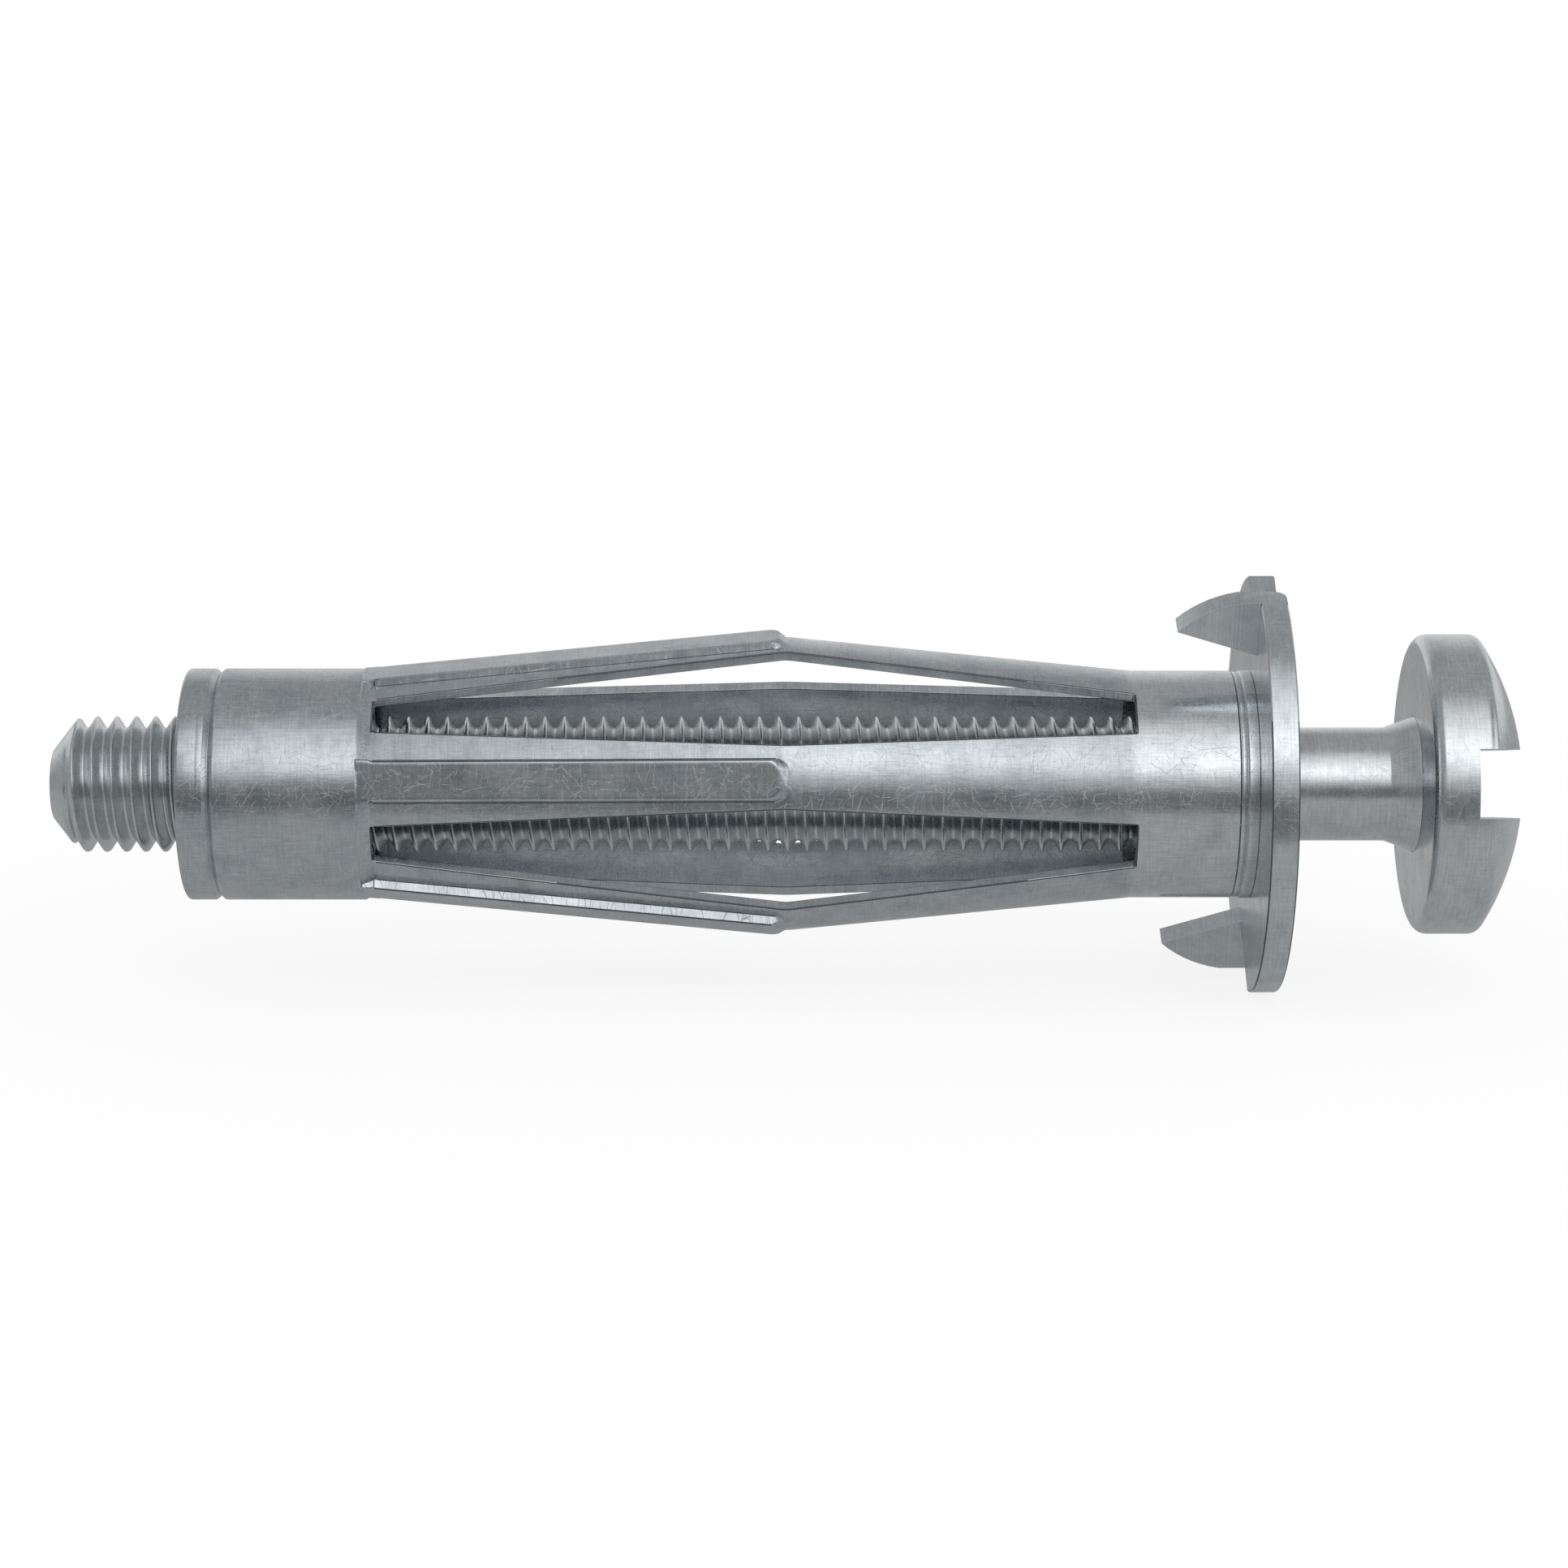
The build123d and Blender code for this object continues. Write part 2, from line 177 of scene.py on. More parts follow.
class ScrewSizes(PropertyGroup):
    """The pan head screw."""
    crest: length("Thread radius", "Radius over the thread crests", 3.0)
    root: length("Core radius", "Radius of the thread's core and of the shank", 2.5)
    pitch: length("Pitch", "Thread pitch as pictured", 0.86)
    crest_top: length("Crest place", "Where a crest passes the top of the screw", -50.81)
    length: length("Length", "Length under the head", 60.0)
    thread: length("Thread length", "Length of the thread with its point", 49.7)
    runout: length("Run-out", "Length over which the thread fades out", 0.6)
    tip: length("Tip radius", "Radius of the flat tip", 1.58)
    point: length("Point length", "Length of the tip's chamfer", 1.12)
    cone: length("Neck cone", "Length of the cone under the head", 1.32)
    cone_radius: length("Neck cone radius", "Radius of the cone at the head", 2.97)
    gap: length("Head gap", "From the flange to the head", 6.12)
    head: length("Head radius", "Radius of the head", 6.62)
    height: length("Head height", "Height of the head", 4.67)
    rim: length("Rim height", "Height of the head's straight rim", 2.62)
    seat_round: length("Seat round", "Radius of the edge under the head", 0.55)
    crown_round: length("Crown round", "Radius of the edge between rim and dome", 0.5)
    slot_width: length("Slot width", "Width of the straight slot", 3.0)
    slot_depth: length("Slot depth", "Depth of the straight slot from the dome's top", 2.79)
    cross_span: length("Cross span", "Span of the cross recess at its mouth", 4.3)
    cross_wing: length("Cross wing", "Width of a wing of the cross recess", 1.05)
    cross_depth: length("Cross depth", "Depth of the cross recess", 3.3)
    # Rounded edges narrower than this get painted shade: a dark line that stands in for the shade along them.
    edge_width: length("Edge width", "Widest rounded edge that the plating leaves dark", 0.085)
    segments: IntProperty(name="Segments", description="Faces around the screw", default=96, min=24)
    rows: IntProperty(name="Rows", description="Rows of faces in one turn of the thread", default=13, min=6)


class FinishColours(PropertyGroup):
    """The zinc plated finishes."""
    sheet: colour("Sheet zinc", "Bright zinc on rolled sheet", "#CFD3D6")
    plate: colour("Plate zinc", "Zinc on the stamped flange", "#CBD1D4")
    bush: colour("Nut zinc", "Zinc on the turned nut", "#C8CED1")
    screw: colour("Screw zinc", "Zinc on the rolled screw", "#CFD3D5")
    dull: colour("Dull zinc", "Where the plating has gone dull", "#9EA8AF")
    # Painted shade: this dark colour goes along narrow rounded edges and creases, where shade falls.
    edge: colour("Edge", "Where the plating is thin along an edge", "#3F474C")
    # Paler scratches: partly fresh metal, and partly a painted glint for the light that scratches catch.
    scratch: colour("Scratch", "Fresh metal in a scratch", "#F0F1F2")
    roughness: share("Roughness", "Roughness of the plating", 0.2)


class StageSettings(PropertyGroup):
    """Floor, light and camera."""
    distance: length("Camera distance", "From the camera to the anchor's middle", 178.0)
    elevation: angle("Camera elevation", "Height of the camera above the floor", 12.7672)
    lens: FloatProperty(
        name="Lens", description="Focal length in millimetres on a 36 mm sensor", default=92.4, unit="CAMERA")
    middle: length("Middle", "Where the camera looks on the axis", -20.5)
    floor: colour("Floor", "The pale floor", "#E9E9E9")
    paper_white: share("Floor white", "How far the floor near the object is lifted to plain white", 0.85)
    lamp: level("Lamp radiance", "Brightness of the lamp over the floor", 1.6)
    fill: level("Fill", "Strength of the room's light on matt surfaces", 1.0)
    room: level("Room", "Brightness of the room that the metal mirrors", 0.41)
    softbox: level("Softbox", "Brightness of the softbox that the metal mirrors", 1.66)
    side: level("Side softbox", "Brightness of the softbox beside the head", 1.5)
    backdrop: level("Backdrop", "Brightness of the mirrored backdrop", 0.8)
    card: level("Card", "Brightness of the grey card's lower part", 0.21)
    card_top: level("Card top", "Brightness of the grey card's upper edge", 0.74)


GROUPS = {
    "anchor_lying": LyingSizes,
    "anchor_sleeve": SleeveSizes,
    "anchor_flange": FlangeSizes,
    "anchor_nut": NutSizes,
    "anchor_screw": ScrewSizes,
    "anchor_finish": FinishColours,
    "anchor_stage": StageSettings,
}


# Meshes

def add_object(name, vertices, faces):
    """A mesh object from lists of points and faces, in metres."""
    mesh = bpy.data.meshes.new(name)
    mesh.from_pydata([tuple(point) for point in vertices], [], faces)
    mesh.update()
    obj = bpy.data.objects.new(name, mesh)
    bpy.context.scene.collection.objects.link(obj)
    return obj


def lathe(outline, segments):
    """Points and faces of an outline of (x, radius) turned about the axis. Radius 0 is a pole."""
    vertices, rings = [], []
    for x, radius in outline:
        count = segments if radius > 0 else 1
        rings.append([len(vertices) + j % count for j in range(segments + 1)])
        for j in range(count):
            turn = 2 * math.pi * j / segments
            vertices.append((x, radius * math.cos(turn), radius * math.sin(turn)))
    faces = []
    for near, far in zip(rings, rings[1:]):
        for j in range(segments):
            corners = [near[j], near[j + 1], far[j + 1], far[j]]
            faces.append(list(dict.fromkeys(corners)))
    return vertices, faces


def arc(centre, radius, start, end, steps):
    """Points (x, radius) on an arc, angles in degrees from the +X direction towards the outside."""
    turns = [math.radians(start + (end - start) * i / steps) for i in range(steps + 1)]
    return [(centre[0] + radius * math.cos(t), centre[1] + radius * math.sin(t)) for t in turns]


def baked(obj):
    """The object with its modifiers applied to its mesh."""
    graph = bpy.context.evaluated_depsgraph_get()
    mesh = bpy.data.meshes.new_from_object(obj.evaluated_get(graph))
    old = obj.data
    obj.modifiers.clear()
    obj.data = mesh
    bpy.data.meshes.remove(old)
    mesh.name = obj.name
    return obj


@contextmanager
def editing(obj):
    """The object's mesh to work on, which is put back at the end."""
    work = bmesh.new()
    work.from_mesh(obj.data)
    yield work
    work.to_mesh(obj.data)
    work.free()


def join(target, source):
    """Moves the source's mesh into the target's and welds what touches."""
    with editing(target) as work:
        work.from_mesh(source.data)
        bmesh.ops.remove_doubles(work, verts=work.verts, dist=WELD)
        bmesh.ops.recalc_face_normals(work, faces=work.faces)
    bpy.data.objects.remove(source)


def read(items, name, width, kind=float):
    """One property of all these items of a mesh, as an array with this many columns."""
    values = np.zeros(width * len(items), dtype=kind)
    items.foreach_get(name, values)
    return values.reshape(-1, width)


def weigh_normals(mesh):
    """Keeps wide faces flat to the eye next to their narrow rounded edges.

    Where the faces around a point are bent, its normal follows the widest of them. Sharp edges stay sharp."""
    normals = read(mesh.polygons, "normal", 3)
    weighted = normals * read(mesh.polygons, "area", 1)
    face = np.repeat(np.arange(len(normals)), read(mesh.polygons, "loop_total", 1, int).ravel())
    points = read(mesh.loops, "vertex_index", 1, int).ravel()
    plain = read(mesh.vertex_normals, "vector", 3)
    summed = np.zeros_like(plain)
    np.add.at(summed, points, weighted[face])
    summed /= np.maximum(np.linalg.norm(summed, axis=1, keepdims=True), NO_ZERO)
    closest = np.ones(len(plain))
    np.minimum.at(closest, points, (normals[face] * plain[points]).sum(1))
    follows = closest < math.cos(BENT)
    is_sharp = read(mesh.edges, "use_edge_sharp", 1, bool).ravel()
    follows[read(mesh.edges, "vertices", 2, int)[is_sharp].ravel()] = False
    corners = read(mesh.corner_normals, "vector", 3)
    mesh.normals_split_custom_set(np.where(follows[points, None], summed[points], corners))


def mark_edge_shade(mesh, width, from_x):
    """Marks the narrow bent faces along edges and creases that get painted shade, from this place on the
    axis.

    Such a face is bent across its short side and straight along its long one."""
    # This layer marks the faces that get painted shade along edges and creases.
    layer = mesh.attributes.new("edge", "FLOAT", "FACE")
    for face in mesh.polygons:
        points = [mesh.vertices[k] for k in face.vertices]
        sides = zip(points, points[1:] + points[:1])
        near, far = max(sides, key=lambda side: (side[0].co - side[1].co).length)
        is_narrow = face.area < width * (near.co - far.co).length and face.center.x > from_x
        is_straight = is_narrow and near.normal.dot(far.normal) > math.cos(STRAIGHT)
        if is_straight and max(face.normal.dot(point.normal) for point in points) < math.cos(BENT):
            layer.data[face.index].value = 1.0


def unwrap(mesh):
    """A UV map in millimetres: along the axis and around it, or straight on where a face looks along it."""
    layer = mesh.uv_layers.get("UVMap") or mesh.uv_layers.new(name="UVMap")
    for face in mesh.polygons:
        y, z = face.center.yz
        middle = math.atan2(z, y)
        around = max(math.hypot(y, z), MM)
        for corner in face.loop_indices:
            point = mesh.vertices[mesh.loops[corner].vertex_index].co
            if abs(face.normal.x) > FACES_ALONG:
                uv = (point.y, point.z)
            else:
                turn = math.atan2(point.z, point.y) - middle
                turn -= 2 * math.pi * round(turn / (2 * math.pi))
                uv = (point.x, around * (middle + turn))
            layer.data[corner].uv = (uv[0] / MM, uv[1] / MM)


def finish_piece(obj, body, node, material, edge_width, edges_from=-1.0):
    """Gives a finished piece its map, its finish and its body, and hides the CAD part that it stands for.

    Its narrow edge faces are marked for painted shade from a place on the axis on, which is all of them
    unless it is given."""
    mesh = obj.data
    if not mesh.polygons:
        raise RuntimeError(f"{obj.name} has no faces")
    mark_edge_shade(mesh, edge_width, edges_from)
    mesh.materials.clear()
    mesh.materials.append(material)
    mesh.shade_smooth()
    weigh_normals(mesh)
    unwrap(mesh)
    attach(obj, body)
    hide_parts(node)


# Node trees

def add_node(tree, kind, inputs=(), operation=None, **settings):
    """Adds one node to the tree. Each setting is a property of it.

    Its inputs are a list in order, or a dictionary by name or number. Each is a value, a socket to link, or a
    node whose first output is linked."""
    node = tree.nodes.new(kind)
    if operation:
        node.operation = operation
    for name, value in settings.items():
        setattr(node, name, value)
    for key, value in inputs.items() if isinstance(inputs, dict) else enumerate(inputs):
        source = value.outputs[0] if isinstance(value, bpy.types.Node) else value
        if isinstance(source, bpy.types.NodeSocket):
            tree.links.new(source, node.inputs[key])
        else:
            node.inputs[key].default_value = source
    return node


def new_tree(name, inputs):
    """An empty Geometry Nodes tree with a geometry in, a geometry out and named inputs."""
    tree = bpy.data.node_groups.new(name, "GeometryNodeTree")
    tree.interface.new_socket("Geometry", in_out="OUTPUT", socket_type="NodeSocketGeometry")
    tree.interface.new_socket("Geometry", in_out="INPUT", socket_type="NodeSocketGeometry")
    for label, kind in inputs.items():
        tree.interface.new_socket(label, in_out="INPUT", socket_type=kind)
    return tree


def use_tree(obj, tree, values):
    """Runs a tree on the object with these inputs and keeps the plain mesh."""
    modifier = obj.modifiers.new(tree.name, "NODES")
    modifier.node_group = tree
    for item in tree.interface.items_tree:
        if item.in_out == "INPUT" and item.name in values:
            modifier[item.identifier] = values[item.name]
    return baked(obj)


def around_tree():
    """The tree that sets a piece of mesh around the axis and welds the copies into one."""
    tree = new_tree("Around the axis", {
        "Count": "NodeSocketInt",
        "First Turn": "NodeSocketFloat",
        "Weld": "NodeSocketFloat",
        "Material": "NodeSocketMaterial",
    })
    add = partial(add_node, tree)
    given = add("NodeGroupInput").outputs
    points = add("GeometryNodePoints", {"Count": given["Count"]})
    index = add("GeometryNodeInputIndex")
    step = add(MATH, [2 * math.pi, given["Count"]], "DIVIDE")
    turn = add(MATH, [index, step, given["First Turn"]], "MULTIPLY_ADD")
    rotation = add("ShaderNodeCombineXYZ", [turn])
    copies = add("GeometryNodeInstanceOnPoints", {
        "Points": points, "Instance": given["Geometry"], "Rotation": rotation})
    real = add("GeometryNodeRealizeInstances", [copies])
    weld = add("GeometryNodeMergeByDistance", {"Geometry": real, "Distance": given["Weld"]})
    finish = add("GeometryNodeSetMaterial", {"Geometry": weld, "Material": given["Material"]})
    add("NodeGroupOutput", [finish])
    return tree


def wound_grid(add, given):
    """A grid, and for each of its points its share of a turn and its place along the axis.

    Each row follows the helix, so crests and roots lie on the mesh's own edges."""
    span = add(MATH, [given["End"], given["Start"]], "SUBTRACT")
    turns = add(MATH, [span, given["Pitch"]], "DIVIDE")
    whole = add(MATH, [turns], "CEIL")
    spare = add(MATH, [whole, 1.0], "ADD")
    rows = add(MATH, [spare, given["Rows"], 1.0], "MULTIPLY_ADD")
    columns = add(MATH, [given["Segments"], 1.0], "ADD")
    grid = add("GeometryNodeMeshGrid", {"Vertices X": rows, "Vertices Y": columns})

    index = add("GeometryNodeInputIndex")
    place = add(MATH, [index, columns], "DIVIDE")
    row = add(MATH, [place], "FLOOR")
    column = add(MATH, [index, columns], "MODULO")
    turn = add(MATH, [column, given["Segments"]], "DIVIDE")
    row_turn = add(MATH, [row, given["Rows"]], "DIVIDE")
    wound = add(MATH, [row_turn, turn], "ADD")
    early = add(MATH, [wound, 1.0], "SUBTRACT")
    raw = add(MATH, [early, given["Pitch"], given["Start"]], "MULTIPLY_ADD")
    along = add("ShaderNodeClamp", [raw, given["Start"], given["End"]])
    return grid, turn, along


# How far from the crest, in turns, the thread has fallen to its root and is still at its full height.
THREAD_ROOT = 0.42
THREAD_CREST = 0.04


def thread_radius(add, given, turn, along):
    """The radius at each point: the thread's form, held between a cone at its start and one at its end."""
    offset = add(MATH, [along, given["Crest Place"]], "SUBTRACT")
    phase = add(MATH, [offset, given["Pitch"]], "DIVIDE")
    from_crest = add(MATH, [phase, turn], "SUBTRACT")
    distance = add(MATH, [from_crest, 0.5], "PINGPONG")
    form = add(RANGE, [distance, THREAD_ROOT, THREAD_CREST, given["Root"], given["Crest"]])
    cones = []
    for end, places in (("Start", [along, given["Start"]]), ("End", [given["End"], along])):
        inwards = add(MATH, places, "SUBTRACT")
        cone = [inwards, given[f"{end} Slope"], given[f"{end} Radius"]]
        cones.append(add(MATH, cone, "MULTIPLY_ADD"))
    held = []
    for operation in ("MINIMUM", "MAXIMUM"):
        both = add(MATH, cones, operation)
        held.append(add(MATH, [both, form], operation))
    return add("GeometryNodeSwitch", {
        "Switch": given["Internal"], "False": held[0], "True": held[1]}, input_type="FLOAT")


def thread_tree():
    """The tree that winds a screw thread about the axis, outside or inside, with a cone at each end."""
    lengths = ("Start", "End", "Crest", "Root", "Pitch", "Crest Place", "Start Radius", "Start Slope",
               "End Radius", "End Slope", "Weld")
    tree = new_tree("Wound thread", dict.fromkeys(lengths, "NodeSocketFloat") | {
        "Segments": "NodeSocketInt",
        "Rows": "NodeSocketInt",
        "Internal": "NodeSocketBool",
        "Material": "NodeSocketMaterial",
    })
    add = partial(add_node, tree)
    given = add("NodeGroupInput").outputs
    grid, turn, along = wound_grid(add, given)
    radius = thread_radius(add, given, turn, along)
    turned = add(MATH, [turn, 2 * math.pi], "MULTIPLY")
    cosine = add(MATH, [turned], "COSINE")
    sine = add(MATH, [turned], "SINE")
    across = add(MATH, [radius, cosine], "MULTIPLY")
    up = add(MATH, [radius, sine], "MULTIPLY")
    point = add("ShaderNodeCombineXYZ", [along, across, up])
    placed = add("GeometryNodeSetPosition", {"Geometry": grid, "Position": point})
    weld = add("GeometryNodeMergeByDistance", {"Geometry": placed, "Distance": given["Weld"]})
    real = add("GeometryNodeRealizeInstances", [weld])
    finish = add("GeometryNodeSetMaterial", {"Geometry": real, "Material": given["Material"]})
    add("NodeGroupOutput", [finish])
    return tree


# Sleeve

# Shares of a cut edge's radius at which its rounding has a row or a column.
CUT_STEPS = np.array([0.0, 0.2, 0.55, 1.0])
# The rib's wall and its end slope, each as shares of its height at steps across it: round, then steep.
RIB_STEPS = (0.0, 0.22, 0.4, 0.52, 0.6, 0.64, 0.83, 0.88, 1.0)
RIB_SHARES = (1.0, 0.985, 0.95, 0.905, 0.86, 0.82, 0.06, 0.02, 0.0)
RIB_END_STEPS = (0.0, 0.1, 0.2, 0.8, 0.9, 1.0)
RIB_END_SHARES = (1.0, 0.98, 0.93, 0.09, 0.03, 0.0)
# Faces across the gap between a leg's edge and the middle of the slot, where the tube is closed.
SLOT_STEPS = 5
# Columns from the rib to the leg's edge, with both ends counted.
GAP_COLUMNS = 4
# Columns on the rib's flat top: beside its middle, from the start of its corner on, and inside its wall.
RIB_MIDDLE = 0.2 * MM
RIB_CORNER = (0.0, 0.1 * MM, 0.2 * MM)
RIB_INSIDE = 0.06 * MM
# The fold is rounded over this length to both sides.
FOLD_REACH = 0.2 * MM
# Faces of this length run from a place behind the rib's rounded end to a place past the fold.
FOLD_STEP = 0.05 * MM
STEPS_BEHIND = 0.1 * MM
STEPS_PAST = 0.25 * MM
# Even rows on a rear leg and on a front leg, and where the rear ones begin from the slots' rear end.
REAR_ROWS = 13
FRONT_ROWS = 14
REAR_START = 1.5 * MM
# The widest face that gets painted shade along an edge, in radii of a sheared edge and of a stamped one.
CUT_FACE = 0.7
STAMPED_FACE = 1.5
# Places of rows that keep the faces short, from the slots' front end, from their rear end and from the crimp.
BARREL_ROWS = (0.3 * MM, 1.2 * MM, 2.6 * MM)
LEG_ROWS = (0.15 * MM, 0.5 * MM, 0.7 * MM, 0.9 * MM)
SEAT_ROWS = (1.5 * MM, 3.5 * MM)
# A faint line that the crimping leaves: how far it is from the crimp, and its depth.
FAINT_GAP = 0.3 * MM
FAINT_DEPTH = 0.02 * MM


def sleeve_places(sizes):
    """Where the sleeve changes along its axis."""
    front = -sizes.barrel
    fold = front - sizes.front_leg
    rear = fold - sizes.rear_leg
    seat = rear - sizes.shoulder
    end = seat - sizes.seat
    return {"front": front, "fold": fold, "rear": rear, "seat": seat, "end": end, "crimp": end + sizes.crimp}


def round_drop(distance, radius):
    """How far a rounded edge has dropped at this distance from the cut."""
    inside = np.clip(radius - distance, 0.0, radius)
    return radius - np.sqrt(radius**2 - inside**2)


def half_width(sizes, at, x):
    """Half the leg's width at x."""
    widths = [sizes.width_nut / 2, sizes.width_fold / 2, sizes.width_barrel / 2]
    return float(np.interp(x, [at["rear"], at["fold"], at["front"]], widths))


def leg_lift(sizes, at, x):
    """How far a leg stands out of the tube at x, with a small round at the fold."""
    stops = [at["rear"], at["fold"], at["front"]]
    lifts = [sizes.seat_radius - sizes.sink - sizes.radius, sizes.lift, 0.0]
    return float(sum(np.interp(x + s * FOLD_REACH, stops, lifts) for s in (-1, -0.5, 0, 0.5, 1)) / 5)


def rib_shape(sizes, at, x, y):
    """The rib's height as a share, at places x along and y across the leg."""
    corner = sizes.rib_corner
    end = at["fold"] - sizes.rib_gap
    side = np.maximum(np.abs(y - sizes.rib_shift) - (sizes.rib_width / 2 - corner), 0.0)
    front = np.maximum(x - (end - corner), 0.0)
    square = side**2 + front**2
    endwise = front**2 / np.maximum(square, NO_ZERO)
    run = sizes.rib_wall + (sizes.rib_end - sizes.rib_wall) * endwise
    step = (np.sqrt(square) - corner) / run
    wall = np.interp(step, RIB_STEPS, RIB_SHARES)
    slope = np.interp(step, RIB_END_STEPS, RIB_END_SHARES)
    return wall + (slope - wall) * endwise


def rib_top(sizes, at, x, y):
    """Height of the rib's flat top above the axis. The top leans a little to one side."""
    fold = sizes.radius + sizes.lift
    nut = sizes.seat_radius - sizes.sink
    slope = (fold - nut) / sizes.rear_leg
    lean = (y - sizes.rib_shift) * math.tan(sizes.rib_lean)
    return nut + sizes.rib_height + (x - at["rear"]) * slope + lean


def leg_columns(sizes, half):
    """Places across a leg of this half width, dense at the rib's walls and at the cut edges."""
    flat = sizes.rib_width / 2
    corner = flat - sizes.rib_corner
    right = [RIB_MIDDLE, *(corner + y for y in RIB_CORNER), flat - RIB_INSIDE]
    right += [flat + sizes.rib_wall * step for step in RIB_STEPS]
    rib = sizes.rib_shift + np.array([-y for y in reversed(right)] + [0.0] + right)
    edge = half - sizes.cut_round * CUT_STEPS[::-1]
    left_gap = np.linspace(-edge[0], rib[0], GAP_COLUMNS)[1:-1]
    right_gap = np.linspace(rib[-1], edge[0], GAP_COLUMNS)[1:-1]
    return np.concatenate([-edge[::-1], left_gap, rib, right_gap, edge])


def ring_columns(sizes, half, radius):
    """Turns of the columns round the closed tube: a leg's columns run on, and the slots' gaps are filled."""
    leg = np.arcsin(leg_columns(sizes, half) / radius)
    rest = np.linspace(leg[-1], math.pi / sizes.legs, SLOT_STEPS + 1)[1:]
    return np.concatenate([-rest[::-1], leg, rest])


def neck_rows(sizes, at):
    """The tube's outer line from the slots to the flared rim, as rows of (x, radius)."""
    radius, neck, bead = sizes.radius, sizes.neck, sizes.bead
    bead_start = -sizes.bead_width
    groove = bead_start - sizes.groove_width
    low = radius - sizes.groove_depth
    fine = 0.03 * MM
    thickness = bpy.context.scene.anchor_flange.thickness
    barrel = [*(at["front"] + sizes.cut_round * CUT_STEPS), *(at["front"] + x for x in BARREL_ROWS)]
    return [(x, radius) for x in (*barrel, groove - 2 * fine)] + [
        (groove - fine, radius - fine / 4),
        (groove - fine / 4, radius - fine),
        (groove + fine / 2, low),
        (groove + 1.5 * fine, low + fine),
        (groove + 3 * fine, low + 1.4 * fine),
        (bead_start - fine, low + 1.4 * fine),
        (bead_start, low),
        (bead_start + fine, bead - fine),
        (bead_start + 2 * fine, bead),
        (-fine, bead),
        (0.0, bead - fine),
        (0.0, neck),
        (thickness - sizes.flare, neck),
        (thickness - fine, neck + sizes.flare - 2 * fine),
        (thickness, neck + sizes.flare - 3 * fine),
    ]


def seat_rows(sizes, at):
    """The tube's outer line from its rear end to the slots, as rows of (x, radius)."""
    radius, crimp, seat = sizes.seat_radius, at["crimp"], at["seat"]
    half = sizes.crimp_width / 2
    fine = 0.04 * MM
    faint = crimp - half - FAINT_GAP
    slope = sizes.sink / sizes.shoulder
    shoulder = [at["rear"] - sizes.cut_round * step for step in (4.0, *CUT_STEPS[::-1])]
    return arc((at["end"] + sizes.end_round, radius - sizes.end_round), sizes.end_round, 180, 90, 5) + [
        (faint - fine, radius),
        (faint, radius - FAINT_DEPTH),
        (faint + fine, radius),
        (crimp - half - fine, radius),
        (crimp - half + fine / 2, radius - fine),
        (crimp - fine / 2, radius - sizes.crimp_depth),
        (crimp + fine / 2, radius - sizes.crimp_depth),
        (crimp + half - fine / 2, radius - fine),
        (crimp + half + fine, radius),
        *((crimp + x, radius) for x in SEAT_ROWS),
        (seat - fine, radius),
        (seat, radius - 0.2 * fine),
        (seat + 0.2 * fine, radius - 0.35 * fine),
        (seat + 1.7 * fine, radius - 1.75 * fine),
        (seat + 1.95 * fine, radius - 1.9 * fine),
        *((x, radius - (x - seat) * slope) for x in shoulder),
    ]


def bore_radius(sizes, at, x):
    """The tube's inner radius at x, outside the legs."""
    bore = sizes.radius - sizes.sheet
    seat = sizes.seat_radius - sizes.sheet
    neck = sizes.neck - sizes.sheet
    groove = -sizes.bead_width - sizes.groove_width
    thickness = bpy.context.scene.anchor_flange.thickness
    half = sizes.crimp_width / 2
    stops = {
        at["end"]: seat,
        at["crimp"] - half: seat,
        at["crimp"]: seat - sizes.crimp_depth,
        at["crimp"] + half: seat,
        at["seat"]: seat,
        at["rear"]: seat - sizes.sink,
        at["front"]: bore,
        groove - sizes.sheet: bore,
        groove: neck,
        thickness - sizes.flare: neck,
        thickness: neck + sizes.flare,
    }
    return np.interp(x, list(stops), list(stops.values()))


def closed_row(sizes, at, x, radius, is_front):
    """Outer and inner points of one row where the tube is closed."""
    cut = at["front"] if is_front else at["rear"]
    half = half_width(sizes, at, cut)
    leg_radius = sizes.radius if is_front else sizes.seat_radius - sizes.sink
    turn = ring_columns(sizes, half, leg_radius)
    across = leg_radius * np.sin(turn)
    beside = np.maximum(half - np.abs(across), 0.0)
    drop = round_drop(np.hypot(beside, x - cut), sizes.cut_round)
    outer = radius - drop
    if not is_front and x > at["seat"]:
        rise = np.maximum(rib_top(sizes, at, x, across) / np.cos(turn) - outer, 0.0)
        outer = outer + rise * rib_shape(sizes, at, x, across)
    row = np.full(len(across), x)
    sides = (outer, bore_radius(sizes, at, x) + drop)
    return [np.stack([row, side * np.sin(turn), side * np.cos(turn)], 1) for side in sides]


def leg_row(sizes, at, x):
    """Outer and inner points of one row across a leg, with cut sides that point at the axis."""
    half = half_width(sizes, at, x)
    across = leg_columns(sizes, half)
    lift = leg_lift(sizes, at, x)
    drop = round_drop(half - np.abs(across), sizes.cut_round)
    bore = sizes.radius - sizes.sheet
    outer = lift + np.sqrt(sizes.radius**2 - across**2) - drop
    outer += (rib_top(sizes, at, x, across) - outer) * rib_shape(sizes, at, x, across)
    inner_across = across * bore / sizes.radius
    inner = lift + np.sqrt(bore**2 - inner_across**2) + drop
    row = np.full(len(across), x)
    return np.stack([row, across, outer], 1), np.stack([row, inner_across, inner], 1)


def leg_stations(sizes, at):
    """Places along a leg, dense at the rib's end and the fold."""
    dense_start = at["fold"] - sizes.rib_gap - sizes.rib_corner - STEPS_BEHIND
    dense_end = at["fold"] + STEPS_PAST
    rear = [at["rear"] + x for x in LEG_ROWS]
    rear += list(np.linspace(at["rear"] + REAR_START, dense_start, REAR_ROWS))[:-1]
    dense = list(np.arange(dense_start, dense_end, FOLD_STEP))
    front = list(np.linspace(dense_end, at["front"] - LEG_ROWS[0], FRONT_ROWS))
    return rear + dense + front


